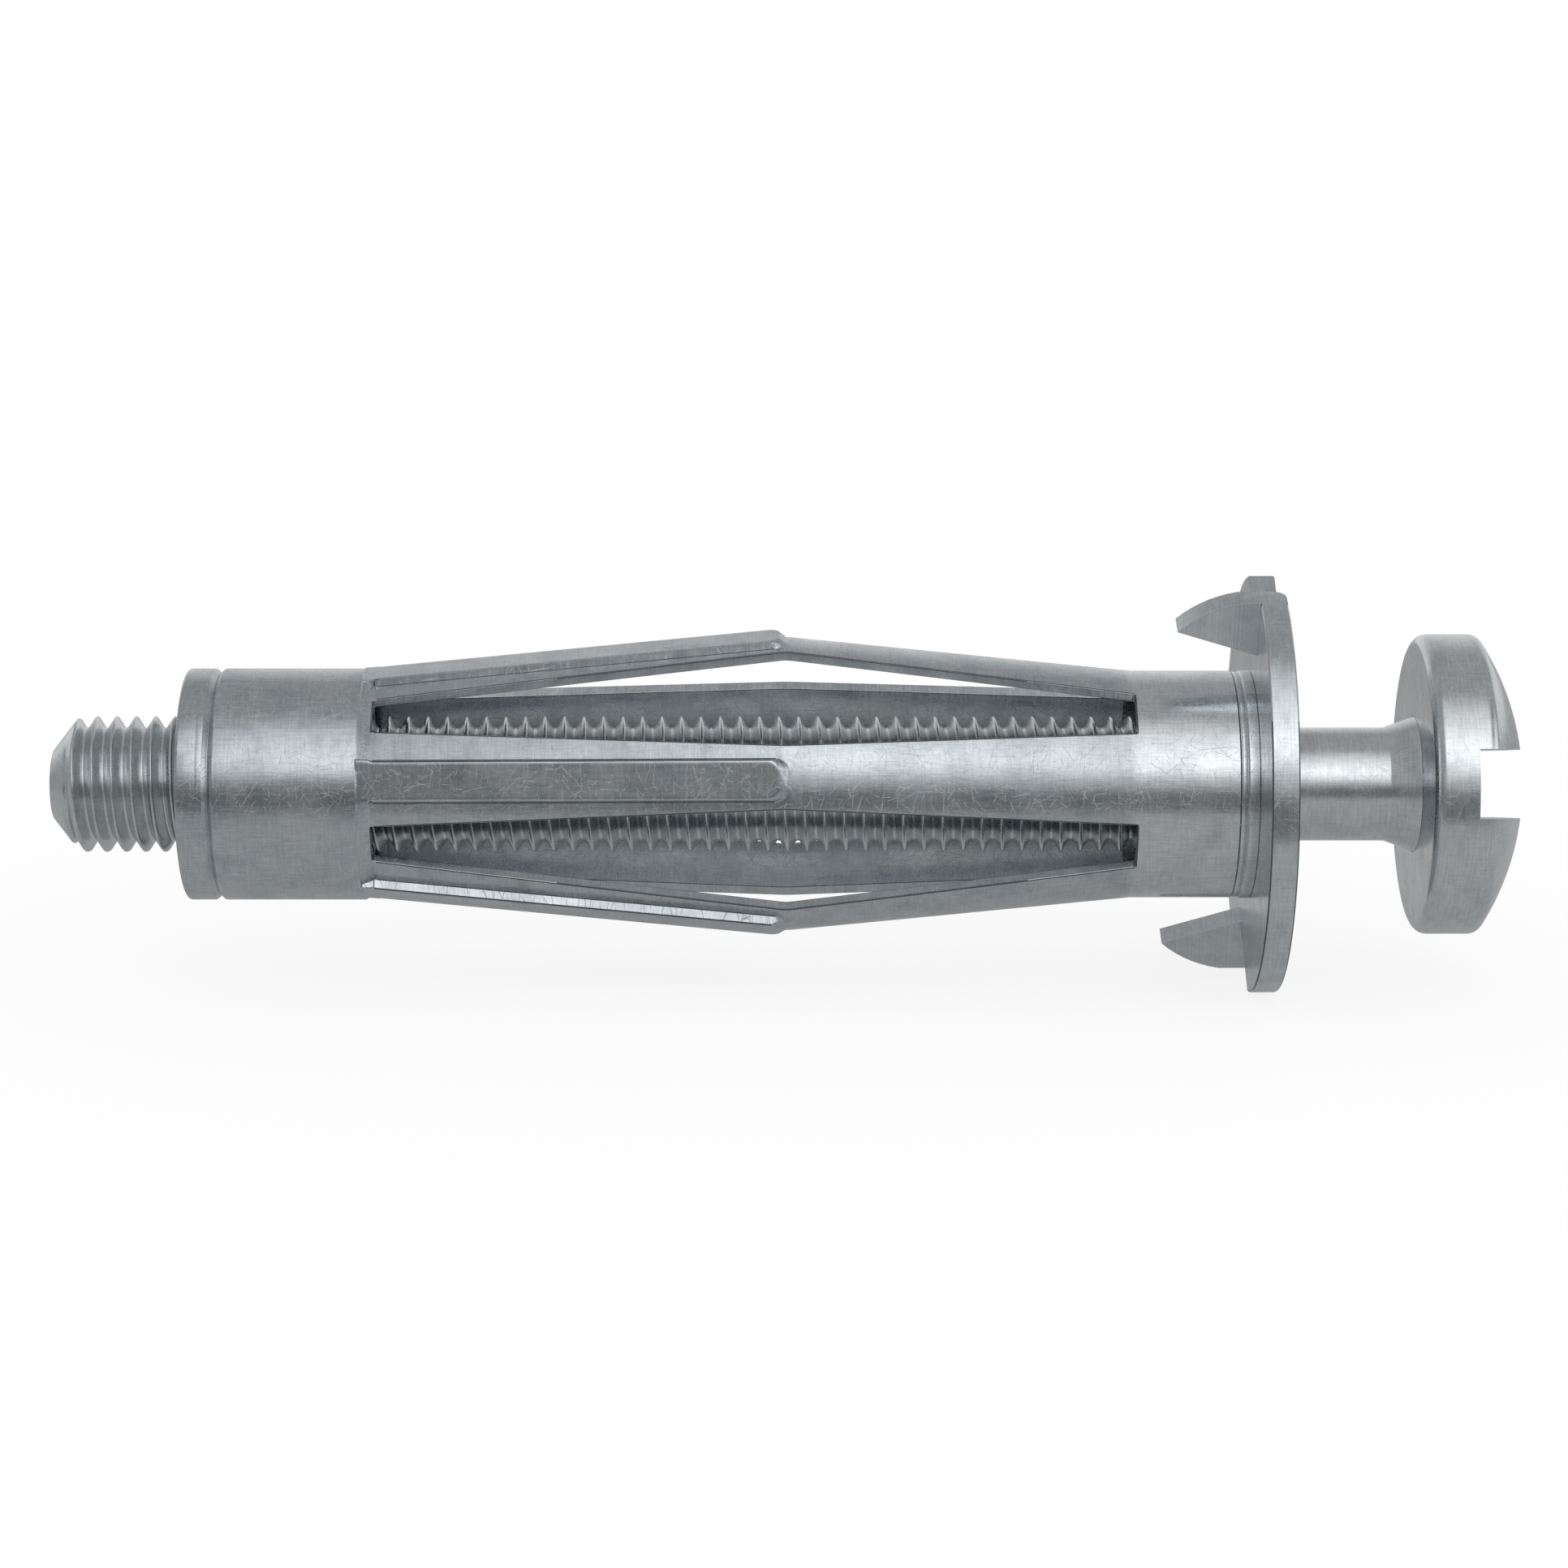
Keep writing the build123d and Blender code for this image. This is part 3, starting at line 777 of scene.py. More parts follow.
def leg_sector():
    """One leg with its share of the closed tube at both ends, towards +Z, as a shell with both sides."""
    sizes = bpy.context.scene.anchor_sleeve
    at = sleeve_places(sizes)
    rows = [closed_row(sizes, at, x, radius, False) for x, radius in seat_rows(sizes, at)]
    rear_cut = len(rows) - 1
    rows += [leg_row(sizes, at, x) for x in leg_stations(sizes, at)]
    front_cut = len(rows)
    rows += [closed_row(sizes, at, x, radius, True) for x, radius in neck_rows(sizes, at)]
    last = len(rows[0][0]) - 1
    number, outer, inner = {}, [], []
    for i, (outside, inside) in enumerate(rows):
        first = SLOT_STEPS if rear_cut < i < front_cut else 0
        for k in range(len(outside)):
            number[i, first + k] = len(outer)
            outer.append(outside[k])
            inner.append(inside[k])
    faces = []
    for i, k in number:
        corners = [number.get(key) for key in ((i, k), (i + 1, k), (i + 1, k + 1), (i, k + 1))]
        if None not in corners:
            faces.append(corners)
    seam = {index for (i, k), index in number.items() if k in (0, last)}
    return shell(outer, inner, faces, seam)


def shell(outer, inner, faces, seam):
    """Closes an outer and an inner sheet of the same faces along their cut edges."""
    count = len(outer)
    directed = {(a, b) for face in faces for a, b in zip(face, face[1:] + face[:1])}
    cuts = [
        [b, a, a + count, b + count]
        for a, b in directed
        if (b, a) not in directed and not (a in seam and b in seam)
    ]
    inside = [[corner + count for corner in reversed(face)] for face in faces]
    return add_object("rolled_sleeve", outer + inner, faces + inside + cuts)


class ANCHOR_OT_sleeve(Operator):
    """Builds the slotted, ribbed and folded sleeve"""
    bl_idname = "anchor.sleeve"
    bl_label = "Sleeve"

    def execute(self, context):
        sizes = context.scene.anchor_sleeve
        finish = plated_sheet()
        first_turn = math.pi / 2 - sizes.leg_turn - context.scene.anchor_lying.turn
        sleeve = use_tree(leg_sector(), around_tree(), {
            "Count": sizes.legs, "First Turn": first_turn, "Weld": WELD, "Material": finish})
        finish_piece(sleeve, "anchor", "sleeve", finish, CUT_FACE * sizes.cut_round)
        return {"FINISHED"}


# Flange, nut and screw

# Faces of the packed flange that turn by less than the first angle are one face, and edges that turn by more
# than the second one are stamped edges.
FLAT_TURN = math.radians(0.5)
STAMPED_TURN = math.radians(28)
# Edges of the screw's head that turn by more than this stay sharp.
SHARP_TURN = math.radians(35)
# How far the cross recess's cutter reaches over the head.
CUTTER_ABOVE = 0.5 * MM
# Rings of the head in millimetres from the slot's floor. They keep the faces that the slot cuts small.
FLOOR_RINGS = (-0.9, -0.6, -0.35, -0.2, -0.1, 0.1, 0.25)


class ANCHOR_OT_flange(Operator):
    """Gives the pressed flange its rounded stamped edges"""
    bl_idname = "anchor.flange"
    bl_label = "Claw flange"

    def execute(self, context):
        edge_round = context.scene.anchor_flange.edge_round
        flange = add_object("pressed_flange", [], [])
        with editing(flange) as work:
            work.from_mesh(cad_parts["claw_flange"].data)
            bmesh.ops.remove_doubles(work, verts=work.verts, dist=WELD)
            bmesh.ops.dissolve_limit(work, angle_limit=FLAT_TURN, verts=work.verts, edges=work.edges)
        bevel = flange.modifiers.new("Stamped edges", "BEVEL")
        bevel.width = edge_round
        bevel.segments = 2
        bevel.limit_method = "ANGLE"
        bevel.angle_limit = STAMPED_TURN
        baked(flange)
        edge_width = STAMPED_FACE * edge_round
        finish_piece(flange, "anchor", "claw_flange", pressed_plate(), edge_width)
        return {"FINISHED"}


def nut_outline(sleeve, nut, at, crest):
    """The nut's outer line from one thread mouth to the other."""
    radius = sleeve.seat_radius - sleeve.sheet - nut.fit
    left = at["end"] + nut.recess
    right = at["seat"] - nut.fit
    mouth = crest + nut.play + nut.chamfer
    half = sleeve.crimp_width / 2
    return [
        (left, mouth),
        (left, radius - nut.chamfer),
        (left + nut.chamfer, radius),
        (at["crimp"] - half, radius),
        (at["crimp"], radius - sleeve.crimp_depth),
        (at["crimp"] + half, radius),
        (right - nut.chamfer, radius),
        (right, radius - nut.chamfer),
        (right, mouth),
    ]


def wind_thread(name, screw, finish, values):
    """A thread with the screw's pitch and these places and radii."""
    return use_tree(add_object(name, [], []), thread_tree(), values | {
        "Pitch": screw.pitch,
        "Crest Place": screw.crest_top - screw.pitch / 4,
        "Segments": screw.segments,
        "Rows": screw.rows,
        "Weld": WELD,
        "Material": finish,
    })


class ANCHOR_OT_nut(Operator):
    """Builds the threaded nut bush inside the sleeve"""
    bl_idname = "anchor.nut"
    bl_label = "Nut"

    def execute(self, context):
        scene = context.scene
        sleeve, nut, screw = scene.anchor_sleeve, scene.anchor_nut, scene.anchor_screw
        finish = turned_bush()
        outline = nut_outline(sleeve, nut, sleeve_places(sleeve), screw.crest)
        bush = add_object("nut_bush", *lathe(outline, screw.segments))
        start, mouth = outline[0]
        slope = (mouth - screw.root - nut.play) / nut.sink
        bore = wind_thread("bore", screw, finish, {
            "Start": start,
            "End": outline[-1][0],
            "Crest": screw.crest + nut.play,
            "Root": screw.root + nut.play,
            "Start Radius": mouth,
            "Start Slope": -slope,
            "End Radius": mouth,
            "End Slope": -slope,
            "Internal": True,
        })
        join(bush, bore)
        finish_piece(bush, "anchor", "nut", finish, 0.0)
        return {"FINISHED"}


def screw_head(screw, start, seat):
    """The screw from its thread's end to the top of its dome, turned."""
    apex = seat + screw.height
    rise = screw.height - screw.rim
    dome = (screw.head**2 + rise**2) / (2 * rise)
    under, crown = screw.seat_round, screw.crown_round
    # The round between rim and dome touches both: its centre is one radius inside each.
    crown_up = screw.head - crown
    crown_x = apex - dome + math.sqrt((dome - crown) ** 2 - crown_up**2)
    dome_turn = math.degrees(math.asin(crown_up / (dome - crown)))
    cone, neck, fine = seat - screw.cone, screw.cone_radius, 0.01 * MM
    floor = apex - screw.slot_depth
    return lathe([
        (start, 0.0),
        (start, screw.root),
        (cone - 4 * fine, screw.root),
        (cone + 4 * fine, screw.root + fine),
        (seat - 5 * fine, neck - fine),
        (seat - fine, neck + fine),
        (seat, neck + 5 * fine),
        (seat, (neck + screw.head) / 2),
        *arc((seat + under, screw.head - under), under, 180, 90, 8),
        *((floor + step * MM, screw.head) for step in FLOOR_RINGS),
        *arc((crown_x, crown_up), crown, 90, dome_turn, 8),
        *arc((apex - dome, 0.0), dome, dome_turn, 0, 24)[1:-1],
        (apex, 0.0),
    ], screw.segments)


def block(ends, low, top):
    """Points and faces of a block from ends[0] to ends[1] along X, with half sizes (y, z) at each end."""
    points = [
        (x, sy * half[0], sz * half[1])
        for x, half in zip(ends, (low, top))
        for sy, sz in ((-1, -1), (1, -1), (1, 1), (-1, 1))
    ]
    faces = [[3, 2, 1, 0], [4, 5, 6, 7]]
    faces += [[j, (j + 1) % 4, (j + 1) % 4 + 4, j + 4] for j in range(4)]
    return points, faces


def cut_drive(head, screw, apex, turn):
    """Cuts the slot and both wings of the cross recess into the head, turned to face the camera's side."""
    reach, half = 2 * screw.head, screw.slot_width / 2
    ends = (apex - screw.cross_depth, apex + CUTTER_ABOVE)
    spread = 1 + CUTTER_ABOVE / (2 * screw.cross_depth)
    wing, span = screw.cross_wing / 2, screw.cross_span / 2
    blocks = [
        block((apex - screw.slot_depth, apex + screw.slot_depth), (reach, half), (reach, half)),
        block(ends, (span / 2, wing / 2), (span * spread, wing * spread)),
        block(ends, (wing / 2, span / 2), (wing * spread, span * spread)),
    ]
    cutters = [add_object("cutter", *points) for points in blocks]
    for cutter in cutters:
        cutter.data.transform(Matrix.Rotation(-turn, 4, "X"))
        cut = head.modifiers.new("Drive", "BOOLEAN")
        cut.operation = "DIFFERENCE"
        cut.solver = "EXACT"
        cut.object = cutter
    baked(head)
    for cutter in cutters:
        bpy.data.objects.remove(cutter)


def lies_at(x, item):
    """Whether a face or an edge lies flat at x."""
    return all(abs(point.co.x - x) < WELD for point in item.verts)


def open_end(obj, x):
    """Takes away the flat faces at x, where the thread goes on."""
    with editing(obj) as work:
        caps = [face for face in work.faces if lies_at(x, face)]
        if not caps:
            raise RuntimeError("the head has no flat end to take away")
        bmesh.ops.delete(work, geom=caps, context="FACES")


def cap_end(obj, x):
    """Closes the open ring at x with one flat face."""
    with editing(obj) as work:
        rim = [edge for edge in work.edges if edge.is_boundary and lies_at(x, edge)]
        bmesh.ops.holes_fill(work, edges=rim, sides=0)


class ANCHOR_OT_screw(Operator):
    """Builds the screw: wound thread, shank, neck cone and slotted head"""
    bl_idname = "anchor.screw"
    bl_label = "Screw"

    def execute(self, context):
        screw = context.scene.anchor_screw
        finish = rolled_screw()
        seat = context.scene.anchor_flange.thickness + screw.gap
        tip = seat - screw.length
        start = tip + screw.thread
        head = add_object("pan_screw", *screw_head(screw, start, seat))
        cut_drive(head, screw, seat + screw.height, context.scene.anchor_lying.turn)
        head.data.shade_smooth()
        head.data.set_sharp_from_angle(angle=SHARP_TURN)
        open_end(head, start)
        thread = wind_thread("thread", screw, finish, {
            "Start": tip,
            "End": start,
            "Crest": screw.crest,
            "Root": screw.root,
            "Start Radius": screw.tip,
            "Start Slope": (screw.crest - screw.tip) / screw.point,
            "End Radius": screw.root,
            "End Slope": (screw.crest - screw.root) / screw.runout,
            "Internal": False,
        })
        cap_end(thread, tip)
        join(head, thread)
        finish_piece(head, "screw", "screw", finish, screw.edge_width, start)
        return {"FINISHED"}


# Finishes

# Stray scratches, in millimetres: there is one to a cell of each of these sizes. Real ones are finer than
# 0.01 mm and are drawn as wide as they need to show.
SCRATCH_CELLS = (0.35, 0.53, 0.8, 1.3, 2.1)
SCRATCH_WIDTH = 0.035
# How much a scratch changes the colour, the roughness and the relief. The paler colour is partly fresh metal
# and partly a painted glint.
SCRATCH_TONE = 0.4
SCRATCH_ROUGHNESS = 0.5
SCRATCH_RELIEF = -0.25
# Brush marks to a millimetre, along a mark and across it. Real ones are finer and would not show.
BRUSH_MARKS = (0.8, 12.0, 1.0)
BRUSHED_ROUND = (12.0, 0.8, 1.0)
BRUSH_ROUGHNESS = 0.15
# Values of the noise between which the brushing, the stains and the milky patches go from least to most.
BRUSH_RANGE = (0.3, 0.7)
STAIN_RANGE = (0.45, 0.7)
CLOUD_RANGE = (0.36, 0.64)
# The plating's relief for full brushing.
RELIEF = 0.012 * MM
RELIEF_STRENGTH = 0.35
# How far the milky patches change the roughness, how much of the dull colour a stain has, and its size.
CLOUD_ROUGHNESS = 0.05
STAIN_TONE = 0.45
STAIN_SIZE = MM / 0.7
# How much of the painted edge shade a marked narrow edge face has.
EDGE_SHADE_TONE = 0.85
# The length over which a worn stretch begins.
WORN_FADE = 0.4 * MM


def scratch_layer(add, place, spacing):
    """Straight stray scratches as a mask, one to a cell of this spacing, each at its own angle."""
    cells = add("ShaderNodeTexVoronoi", {"Vector": place, "Scale": 1.0 / spacing}, voronoi_dimensions="2D")
    own = add("ShaderNodeSeparateXYZ", [cells.outputs["Color"]]).outputs
    away = add("ShaderNodeVectorMath", [place, cells.outputs["Position"]], "SUBTRACT")
    turn = add(MATH, [own[0], math.pi], "MULTIPLY")
    turned = add("ShaderNodeVectorRotate", {"Vector": away, "Angle": turn}, rotation_type="Z_AXIS")
    parts = add("ShaderNodeSeparateXYZ", [turned]).outputs
    mask = own[2]
    # Across a scratch and along it: the part of its place, where it has gone, and where it is still full.
    for part, clear, full in ((1, SCRATCH_WIDTH / 2, SCRATCH_WIDTH / 5), (0, 0.6 * spacing, 0.3 * spacing)):
        distance = add(MATH, [parts[part]], "ABSOLUTE")
        inside = add(RANGE, [distance, clear, full, 0.0, 1.0])
        mask = add(MATH, [mask, inside], "MULTIPLY")
    return mask


def all_scratches(add, place):
    """The scratches of every cell size as one mask."""
    mask = 0.0
    for spacing in SCRATCH_CELLS:
        mask = add(MATH, [mask, scratch_layer(add, place, spacing)], "MAXIMUM")
    return mask


def brush_layer(add, place, marks, strength):
    """Fine brushing: noise drawn out along one direction, from minus to plus half its strength."""
    stretched = add("ShaderNodeMapping", {"Vector": place, "Scale": marks})
    noise = add(NOISE, {
        "Vector": stretched, "Scale": 1.0, "Detail": 3.0, "Roughness": 0.65}, noise_dimensions="2D")
    return add(RANGE, [noise, *BRUSH_RANGE, -strength / 2, strength / 2])


def plating_wear(add, solid, roughness, cloud_size, worn):
    """How dull and how rough the plating is: stained, milky in patches and worn behind a place."""
    place, duller, rougher = worn
    x = add("ShaderNodeSeparateXYZ", [solid])
    behind = add(RANGE, [x, place, place - WORN_FADE, 0.0, 1.0], interpolation_type="SMOOTHSTEP")
    stains = add(NOISE, {"Vector": solid, "Scale": 1.0 / STAIN_SIZE, "Detail": 6.0, "Roughness": 0.75})
    stained = add(RANGE, [stains, *STAIN_RANGE, 0.0, STAIN_TONE])
    patches = 1.0 / (cloud_size * MM)
    clouds = add(NOISE, {"Vector": solid, "Scale": patches, "Detail": 5.0, "Roughness": 0.6})
    low, high = roughness - CLOUD_ROUGHNESS, roughness + CLOUD_ROUGHNESS
    matt = add(RANGE, [clouds, *CLOUD_RANGE, low, high], interpolation_type="SMOOTHSTEP")
    dull = add(MATH, [behind, duller, stained], "MULTIPLY_ADD")
    rough = add(MATH, [behind, rougher, matt], "MULTIPLY_ADD")
    return dull, rough


def plating_tone(add, bright, dull, brushed, scored):
    """The plating's colour: bright to dull, brushed, paler in scratches (partly fresh metal, partly a painted
    glint), and with painted shade along narrow edges and creases.
    """
    finish = bpy.context.scene.anchor_finish
    zinc_tone = add("ShaderNodeMix", {
        "Factor": dull, 6: (*bright, 1.0), 7: (*finish.dull, 1.0)}, data_type="RGBA").outputs[2]
    grain = add(MATH, [brushed, 1.0], "ADD")
    tone = add("ShaderNodeVectorMath", {0: zinc_tone, "Scale": grain}, "SCALE")
    # Scratches are painted paler: partly fresh metal, and partly a painted glint.
    lit = add(MATH, [scored, SCRATCH_TONE], "MULTIPLY")
    # Painted shade: the marked narrow edge faces are darkened towards the edge colour.
    edge = add("ShaderNodeAttribute", attribute_name="edge").outputs["Fac"]
    shaded = add(MATH, [edge, EDGE_SHADE_TONE], "MULTIPLY")
    for factor, paint in ((lit, finish.scratch), (shaded, finish.edge)):
        tone = add("ShaderNodeMix", {
            "Factor": factor, 6: tone, 7: (*paint, 1.0)}, data_type="RGBA").outputs[2]
    return tone


def shader_nodes(owner):
    """What adds nodes to the emptied tree of this material or world."""
    owner.use_nodes = True
    owner.node_tree.nodes.clear()
    return partial(add_node, owner.node_tree)


def zinc(name, bright, along, around, scratching, cloud_size, worn=(0.0, 0.0, 0.0)):
    """Electroplated zinc on steel: blue-grey, half glossy, cloudy, finely brushed and lightly scratched.

    Along and around are the strengths of the brushing in both directions, and scratching that of the stray
    scratches. Cloud_size is the size in millimetres of the patches where the plating is milky. Worn gives a
    place on the axis, and how much duller and rougher the piece is behind it."""
    material = bpy.data.materials.new(name)
    add = shader_nodes(material)
    flat = add("ShaderNodeUVMap", uv_map="UVMap")
    solid = add("ShaderNodeTexCoord").outputs["Object"]
    lines_along = brush_layer(add, flat, BRUSH_MARKS, along)
    lines_around = brush_layer(add, flat, BRUSHED_ROUND, around)
    brushed = add(MATH, [lines_along, lines_around], "ADD")
    scored = add(MATH, [all_scratches(add, flat), scratching], "MULTIPLY")
    dull, rough = plating_wear(add, solid, bpy.context.scene.anchor_finish.roughness, cloud_size, worn)

    streaked = add(MATH, [brushed, BRUSH_ROUGHNESS, rough], "MULTIPLY_ADD")
    roughness = add(MATH, [scored, SCRATCH_ROUGHNESS, streaked], "MULTIPLY_ADD", use_clamp=True)
    relief = add(MATH, [scored, SCRATCH_RELIEF, brushed], "MULTIPLY_ADD")
    bump = add("ShaderNodeBump", {"Height": relief, "Strength": RELIEF_STRENGTH, "Distance": RELIEF})
    metal = add("ShaderNodeBsdfPrincipled", {
        "Base Color": plating_tone(add, bright, dull, brushed, scored), "Metallic": 1.0,
        "Roughness": roughness, "Normal": bump})
    add("ShaderNodeOutputMaterial", {"Surface": metal})
    return material


def plated_sheet():
    """Bright zinc on rolled sheet: brushed both ways by the rolls, with cloudy patches and duller legs."""
    scene = bpy.context.scene
    worn = (sleeve_places(scene.anchor_sleeve)["front"], 0.35, 0.05)
    return zinc("bright_zinc_on_rolled_sheet", scene.anchor_finish.sheet,
                along=0.2, around=0.16, scratching=0.8, cloud_size=2.4, worn=worn)


def pressed_plate():
    """Zinc on stamped plate: a finer, more even grain than the sheet."""
    return zinc("zinc_on_stamped_plate", bpy.context.scene.anchor_finish.plate,
                along=0.14, around=0.2, scratching=0.5, cloud_size=1.6)


def turned_bush():
    """Zinc on a turned bush: the turning leaves lines around the axis."""
    return zinc("zinc_on_turned_bush", bpy.context.scene.anchor_finish.bush,
                along=0.05, around=0.35, scratching=0.2, cloud_size=1.6)


def rolled_screw():
    """Bright zinc on a rolled screw: faint lines along the shank and round the head, and a rougher thread."""
    scene = bpy.context.scene
    screw = scene.anchor_screw
    thread_end = scene.anchor_flange.thickness + screw.gap - screw.length + screw.thread
    worn = (thread_end, 0.0, 0.06)
    return zinc("bright_zinc_on_rolled_screw", scene.anchor_finish.screw,
                along=0.12, around=0.2, scratching=0.5, cloud_size=1.8, worn=worn)


# Stage

# The floor's height in millimetres. All places in this part are in millimetres.
LOW = CAD_BOX[0][2] / MM
FLOOR = [(-900, -160, LOW), (900, -160, LOW), (900, 1500, LOW), (-900, 1500, LOW)]
# The floor is paper nearer to the object than the first distance, and plain white past the second.
SHADOW_NEAR = 30 * MM
SHADOW_FAR = 120 * MM
# How much narrower the shadow area is across the object than along it.
SHADOW_SQUASH = 1.4
# How bright the metal mirrors the floor, as a share of the room.
FLOOR_MIRRORED = 0.95
LAMP_PLACE = Vector((100, -311, 252))
LAMP_TARGET = Vector((-20, 0, 0))
LAMP_SIZE = (440 * MM, 270 * MM)
SENSOR_WIDTH = 36.0
# What the metal mirrors: each panel's corners, the settings for its dark and its bright parts, and its fades.
# A fade runs along an axis from one place to another and from one share of the brightness to another.
PANELS = {
    # The grey card in front is dark below and paler towards the top, where it stays dark to the left.
    "grey_card": (
        [(-160, -36, LOW), (140, -36, LOW), (140, -75, 24), (-160, -75, 24)], "card", "card_top",
        [("Z", 2, 19, 0.0, 1.0, "LINEAR"), ("X", -60, 0, 0.15, 1.0, "LINEAR")]),
    # The softbox is brightest a third of the way up and fades to the top and to both sides.
    "softbox": (
        [(-270, -441, 152), (270, -441, 152), (270, -42, 486), (-270, -42, 486)], "room", "softbox",
        [("X", -205, -50, 0.0, 1.0, "SMOOTHSTEP"), ("X", 90, 270, 1.0, 0.0, "SMOOTHSTEP"),
         ("Z", 152, 235, 0.55, 1.0, "LINEAR"), ("Z", 250, 480, 1.0, 0.0, "LINEAR")]),
    # The white backdrop is paler near the floor.
    "backdrop": (
        [(-400, 250, LOW), (400, 250, LOW), (400, 250, 260), (-400, 250, 260)], "room", "backdrop",
        [("Z", 60, 260, 1.0, 0.0, "LINEAR")]),
    # A second softbox beside the head lights the faces that end the ribs and the collar.
    "side_softbox": (
        [(150, -230, LOW), (256, -10, LOW), (256, -10, 200), (150, -230, 200)], "room", "side",
        [("Z", 80, 200, 1.0, 0.0, "LINEAR")]),
    # The white card behind the side softbox is as bright as the backdrop.
    "white_card": (
        [(260, -220, LOW), (260, 60, LOW), (260, 60, 200), (260, -220, 200)], "room", "backdrop",
        [("Z", 60, 260, 1.0, 0.0, "LINEAR")]),
}


def flat_plane(name, corners, material):
    """A flat sheet of the stage from four corners in millimetres."""
    plane = add_object(name, [tuple(c * MM for c in corner) for corner in corners], [[0, 1, 2, 3]])
    plane.data.materials.append(material)
    return plane


def seen_by(add, *rays):
    """1 for a ray of one of these kinds, and 0 for any other."""
    path = add("ShaderNodeLightPath").outputs
    seen = 0.0
    for ray in rays:
        seen = add(MATH, [seen, path[ray]], "MAXIMUM")
    return seen


def seen_by_metal(add, plain, mirrored):
    """A brightness that is mirrored in the metal's reflections and plain to all else."""
    path = add("ShaderNodeLightPath").outputs
    return add(RANGE, [path["Is Glossy Ray"], 0.0, 1.0, plain, mirrored])


def add_floor(stage):
    """The pale paper floor, which keeps the object's soft shadow.

    To the camera and to reflections it goes over into plain white away from the object."""
    material = bpy.data.materials.new("pale_paper_floor")
    add = shader_nodes(material)
    paper = add("ShaderNodeBsdfDiffuse", {"Color": (*stage.floor, 1.0)})
    white = add("ShaderNodeEmission", {
        "Color": WHITE, "Strength": seen_by_metal(add, 1.0, FLOOR_MIRRORED * stage.room)})
    solid = add("ShaderNodeTexCoord").outputs["Object"]
    centred = add("ShaderNodeMapping", {
        "Vector": solid, "Location": (-stage.middle, 0.0, 0.0), "Scale": (1.0, SHADOW_SQUASH, 0.0)})
    away = add("ShaderNodeVectorMath", [centred], "LENGTH").outputs["Value"]
    lifted = add(RANGE, [away, SHADOW_NEAR, SHADOW_FAR, stage.paper_white, 1.0],
                 interpolation_type="SMOOTHSTEP")
    seen = seen_by(add, "Is Camera Ray", "Is Glossy Ray", "Is Transmission Ray")
    factor = add(MATH, [seen, lifted], "MULTIPLY")
    mixed = add("ShaderNodeMixShader", [factor, paper, white])
    add("ShaderNodeOutputMaterial", {"Surface": mixed})
    flat_plane("floor", FLOOR, material)


def add_panel(stage, name, corners, dark, bright, fades):
    """A panel that only the metal's reflections see. Its fades are multiplied."""
    material = bpy.data.materials.new(name)
    add = shader_nodes(material)
    solid = add("ShaderNodeTexCoord").outputs["Object"]
    place = add("ShaderNodeSeparateXYZ", [solid]).outputs
    lit = 1.0
    for axis, start, end, low, high, kind in fades:
        fade = add(RANGE, [place[axis], start * MM, end * MM, low, high], interpolation_type=kind)
        lit = add(MATH, [lit, fade], "MULTIPLY")
    dimmest, brightest = getattr(stage, dark), getattr(stage, bright)
    strength = add(MATH, [lit, brightest - dimmest, dimmest], "MULTIPLY_ADD")
    glow = add("ShaderNodeEmission", {"Color": WHITE, "Strength": strength})
    add("ShaderNodeOutputMaterial", {"Surface": glow})
    panel = flat_plane(name, corners, material)
    panel.visible_camera = False
    panel.visible_diffuse = False
    panel.visible_shadow = False


def add_lamp(stage):
    """A large soft lamp above and in front of the object. The metal doesn't mirror it."""
    data = bpy.data.lights.new("soft_lamp", "AREA")
    data.shape = "RECTANGLE"
    data.size, data.size_y = LAMP_SIZE
    data.energy = stage.lamp * math.pi * data.size * data.size_y
    lamp = bpy.data.objects.new("soft_lamp", data)
    lamp.location = LAMP_PLACE * MM
    lamp.rotation_euler = (LAMP_TARGET - LAMP_PLACE).to_track_quat("-Z", "Y").to_euler()
    lamp.visible_glossy = False
    bpy.context.scene.collection.objects.link(lamp)


def add_room(stage):
    """The room: plain white to the camera, a soft grey to the metal and a fill on matt surfaces."""
    world = bpy.data.worlds.new("white_room")
    add = shader_nodes(world)
    seen = seen_by(add, "Is Camera Ray", "Is Transmission Ray")
    room = add("ShaderNodeBackground", {
        "Color": WHITE, "Strength": seen_by_metal(add, stage.fill, stage.room)})
    white = add("ShaderNodeBackground", {"Color": WHITE, "Strength": 1.0})
    mixed = add("ShaderNodeMixShader", [seen, room, white])
    add("ShaderNodeOutputWorld", {"Surface": mixed})
    bpy.context.scene.world = world


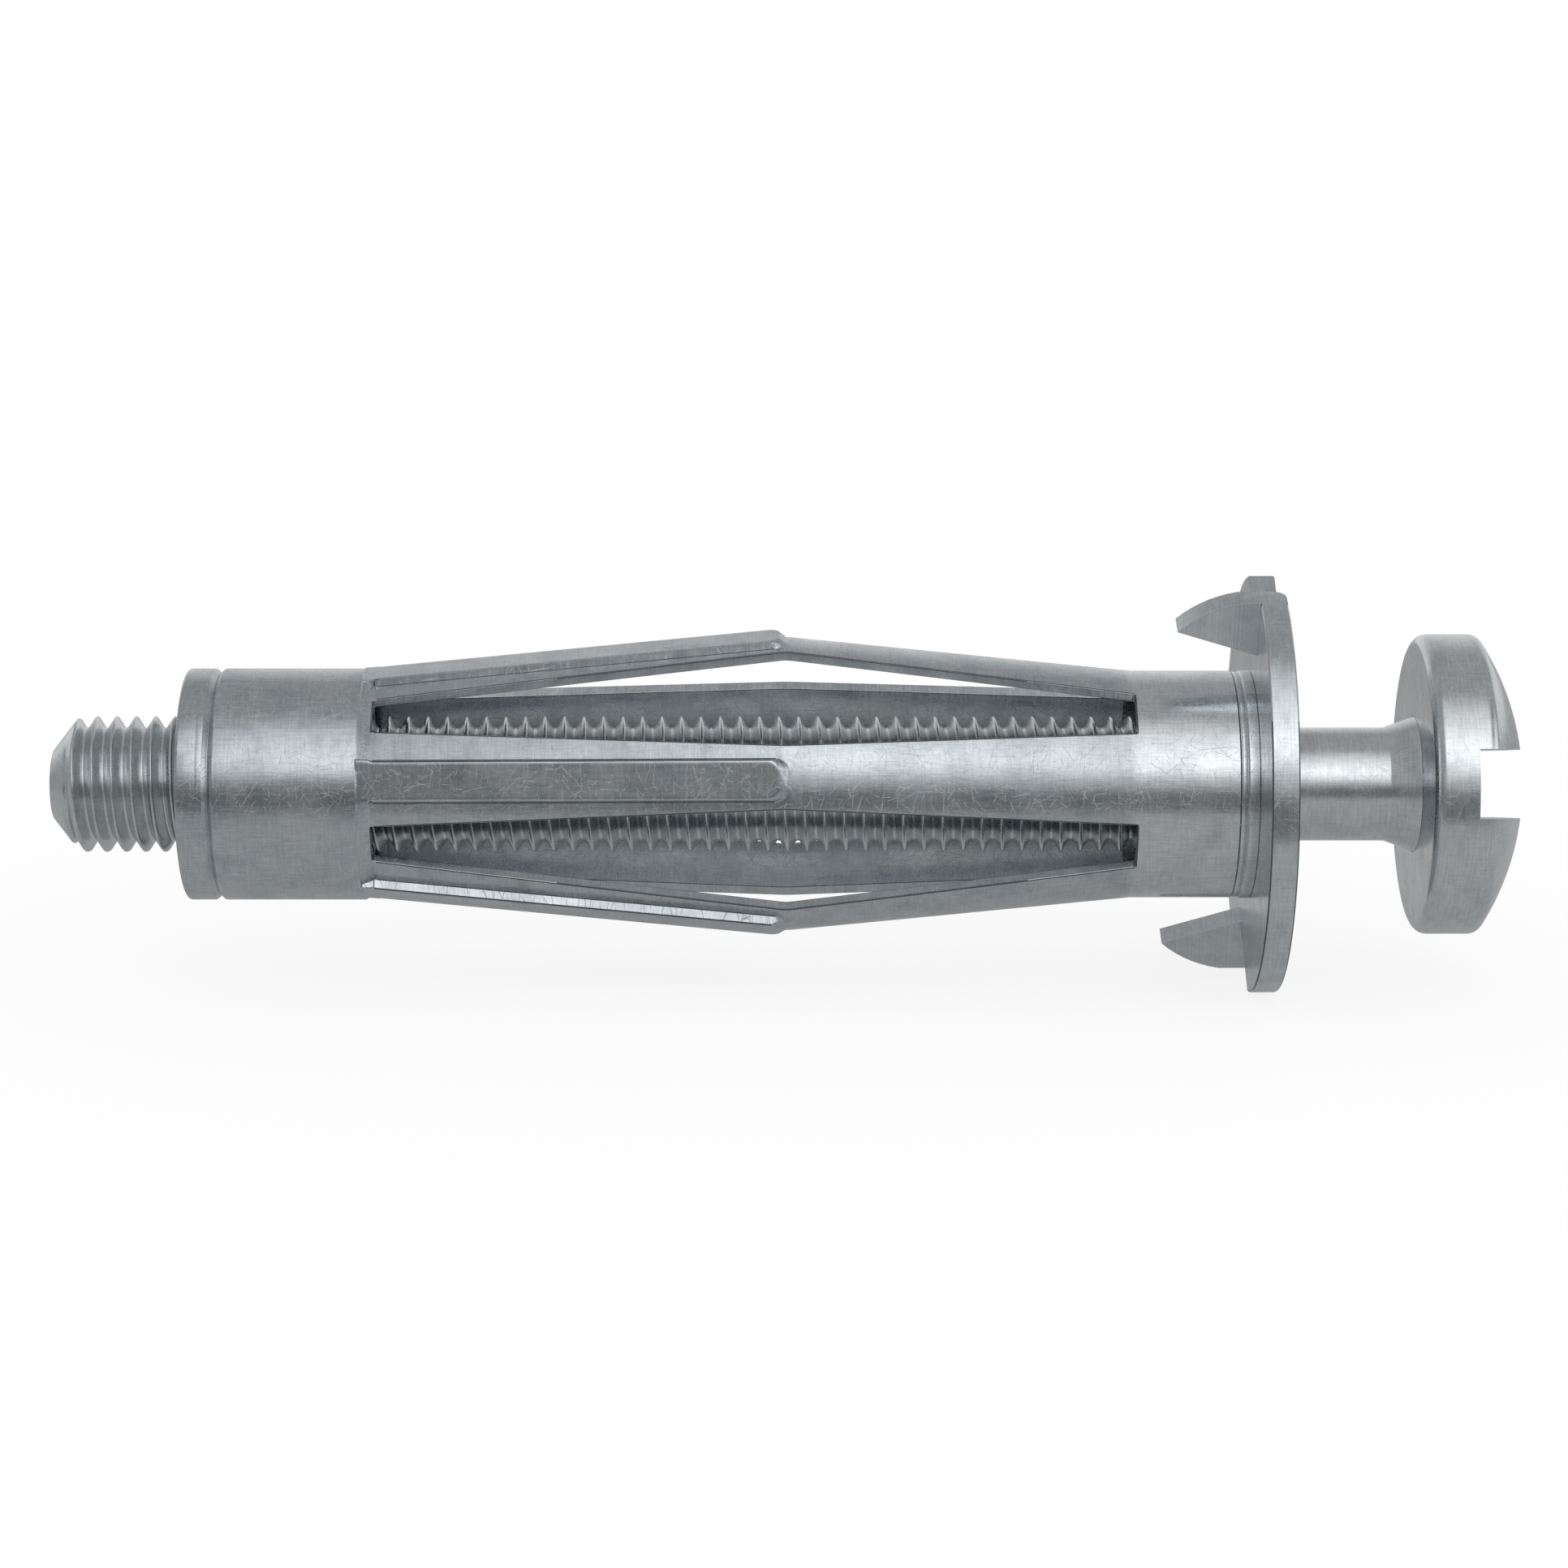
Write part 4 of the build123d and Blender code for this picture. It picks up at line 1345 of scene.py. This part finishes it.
def add_camera(stage):
    """The camera at the photograph's angle."""
    data = bpy.data.cameras.new("camera")
    data.lens = stage.lens
    data.sensor_width = SENSOR_WIDTH
    camera = bpy.data.objects.new("camera", data)
    target = Vector((stage.middle, 0.0, 0.0))
    back = Vector((0.0, -math.cos(stage.elevation), math.sin(stage.elevation)))
    camera.location = target + back * stage.distance
    camera.rotation_euler = (-back).to_track_quat("-Z", "Y").to_euler()
    bpy.context.scene.collection.objects.link(camera)
    bpy.context.scene.camera = camera


class ANCHOR_OT_stage(Operator):
    """Sets the pale floor, the soft light and the camera"""
    bl_idname = "anchor.stage"
    bl_label = "Stage"

    def execute(self, context):
        stage = context.scene.anchor_stage
        context.scene.view_settings.view_transform = "Standard"
        add_room(stage)
        add_floor(stage)
        for name, panel in PANELS.items():
            add_panel(stage, name, *panel)
        add_lamp(stage)
        add_camera(stage)
        return {"FINISHED"}


OPERATORS = (ANCHOR_OT_stage, ANCHOR_OT_sleeve, ANCHOR_OT_flange, ANCHOR_OT_nut, ANCHOR_OT_screw)


class ANCHOR_PT_panel(Panel):
    """Lists the anchor's pieces and the stage, with their sizes and colours"""
    bl_label = "Wall anchor"
    bl_idname = "ANCHOR_PT_panel"
    bl_space_type = "VIEW_3D"
    bl_region_type = "UI"
    bl_category = "Wall anchor"

    def draw(self, context):
        for operator in OPERATORS:
            self.layout.operator(operator.bl_idname)
        for name, group in GROUPS.items():
            box = self.layout.box()
            box.label(text=group.__doc__)
            for setting in group.__annotations__:
                box.prop(getattr(context.scene, name), setting)


CLASSES = (*GROUPS.values(), *OPERATORS, ANCHOR_PT_panel)


def register():
    """Registers the classes and puts the settings on the scene."""
    for cls in CLASSES:
        bpy.utils.register_class(cls)
    for name, group in GROUPS.items():
        setattr(bpy.types.Scene, name, PointerProperty(type=group))


def unregister():
    """Takes the settings and the classes away again."""
    for name in GROUPS:
        delattr(bpy.types.Scene, name)
    for cls in reversed(CLASSES):
        bpy.utils.unregister_class(cls)


def main():
    """Builds every piece and the stage."""
    register()
    bpy.ops.anchor.stage()
    bpy.ops.anchor.sleeve()
    bpy.ops.anchor.flange()
    bpy.ops.anchor.nut()
    bpy.ops.anchor.screw()


if __name__ == "__main__":
    main()
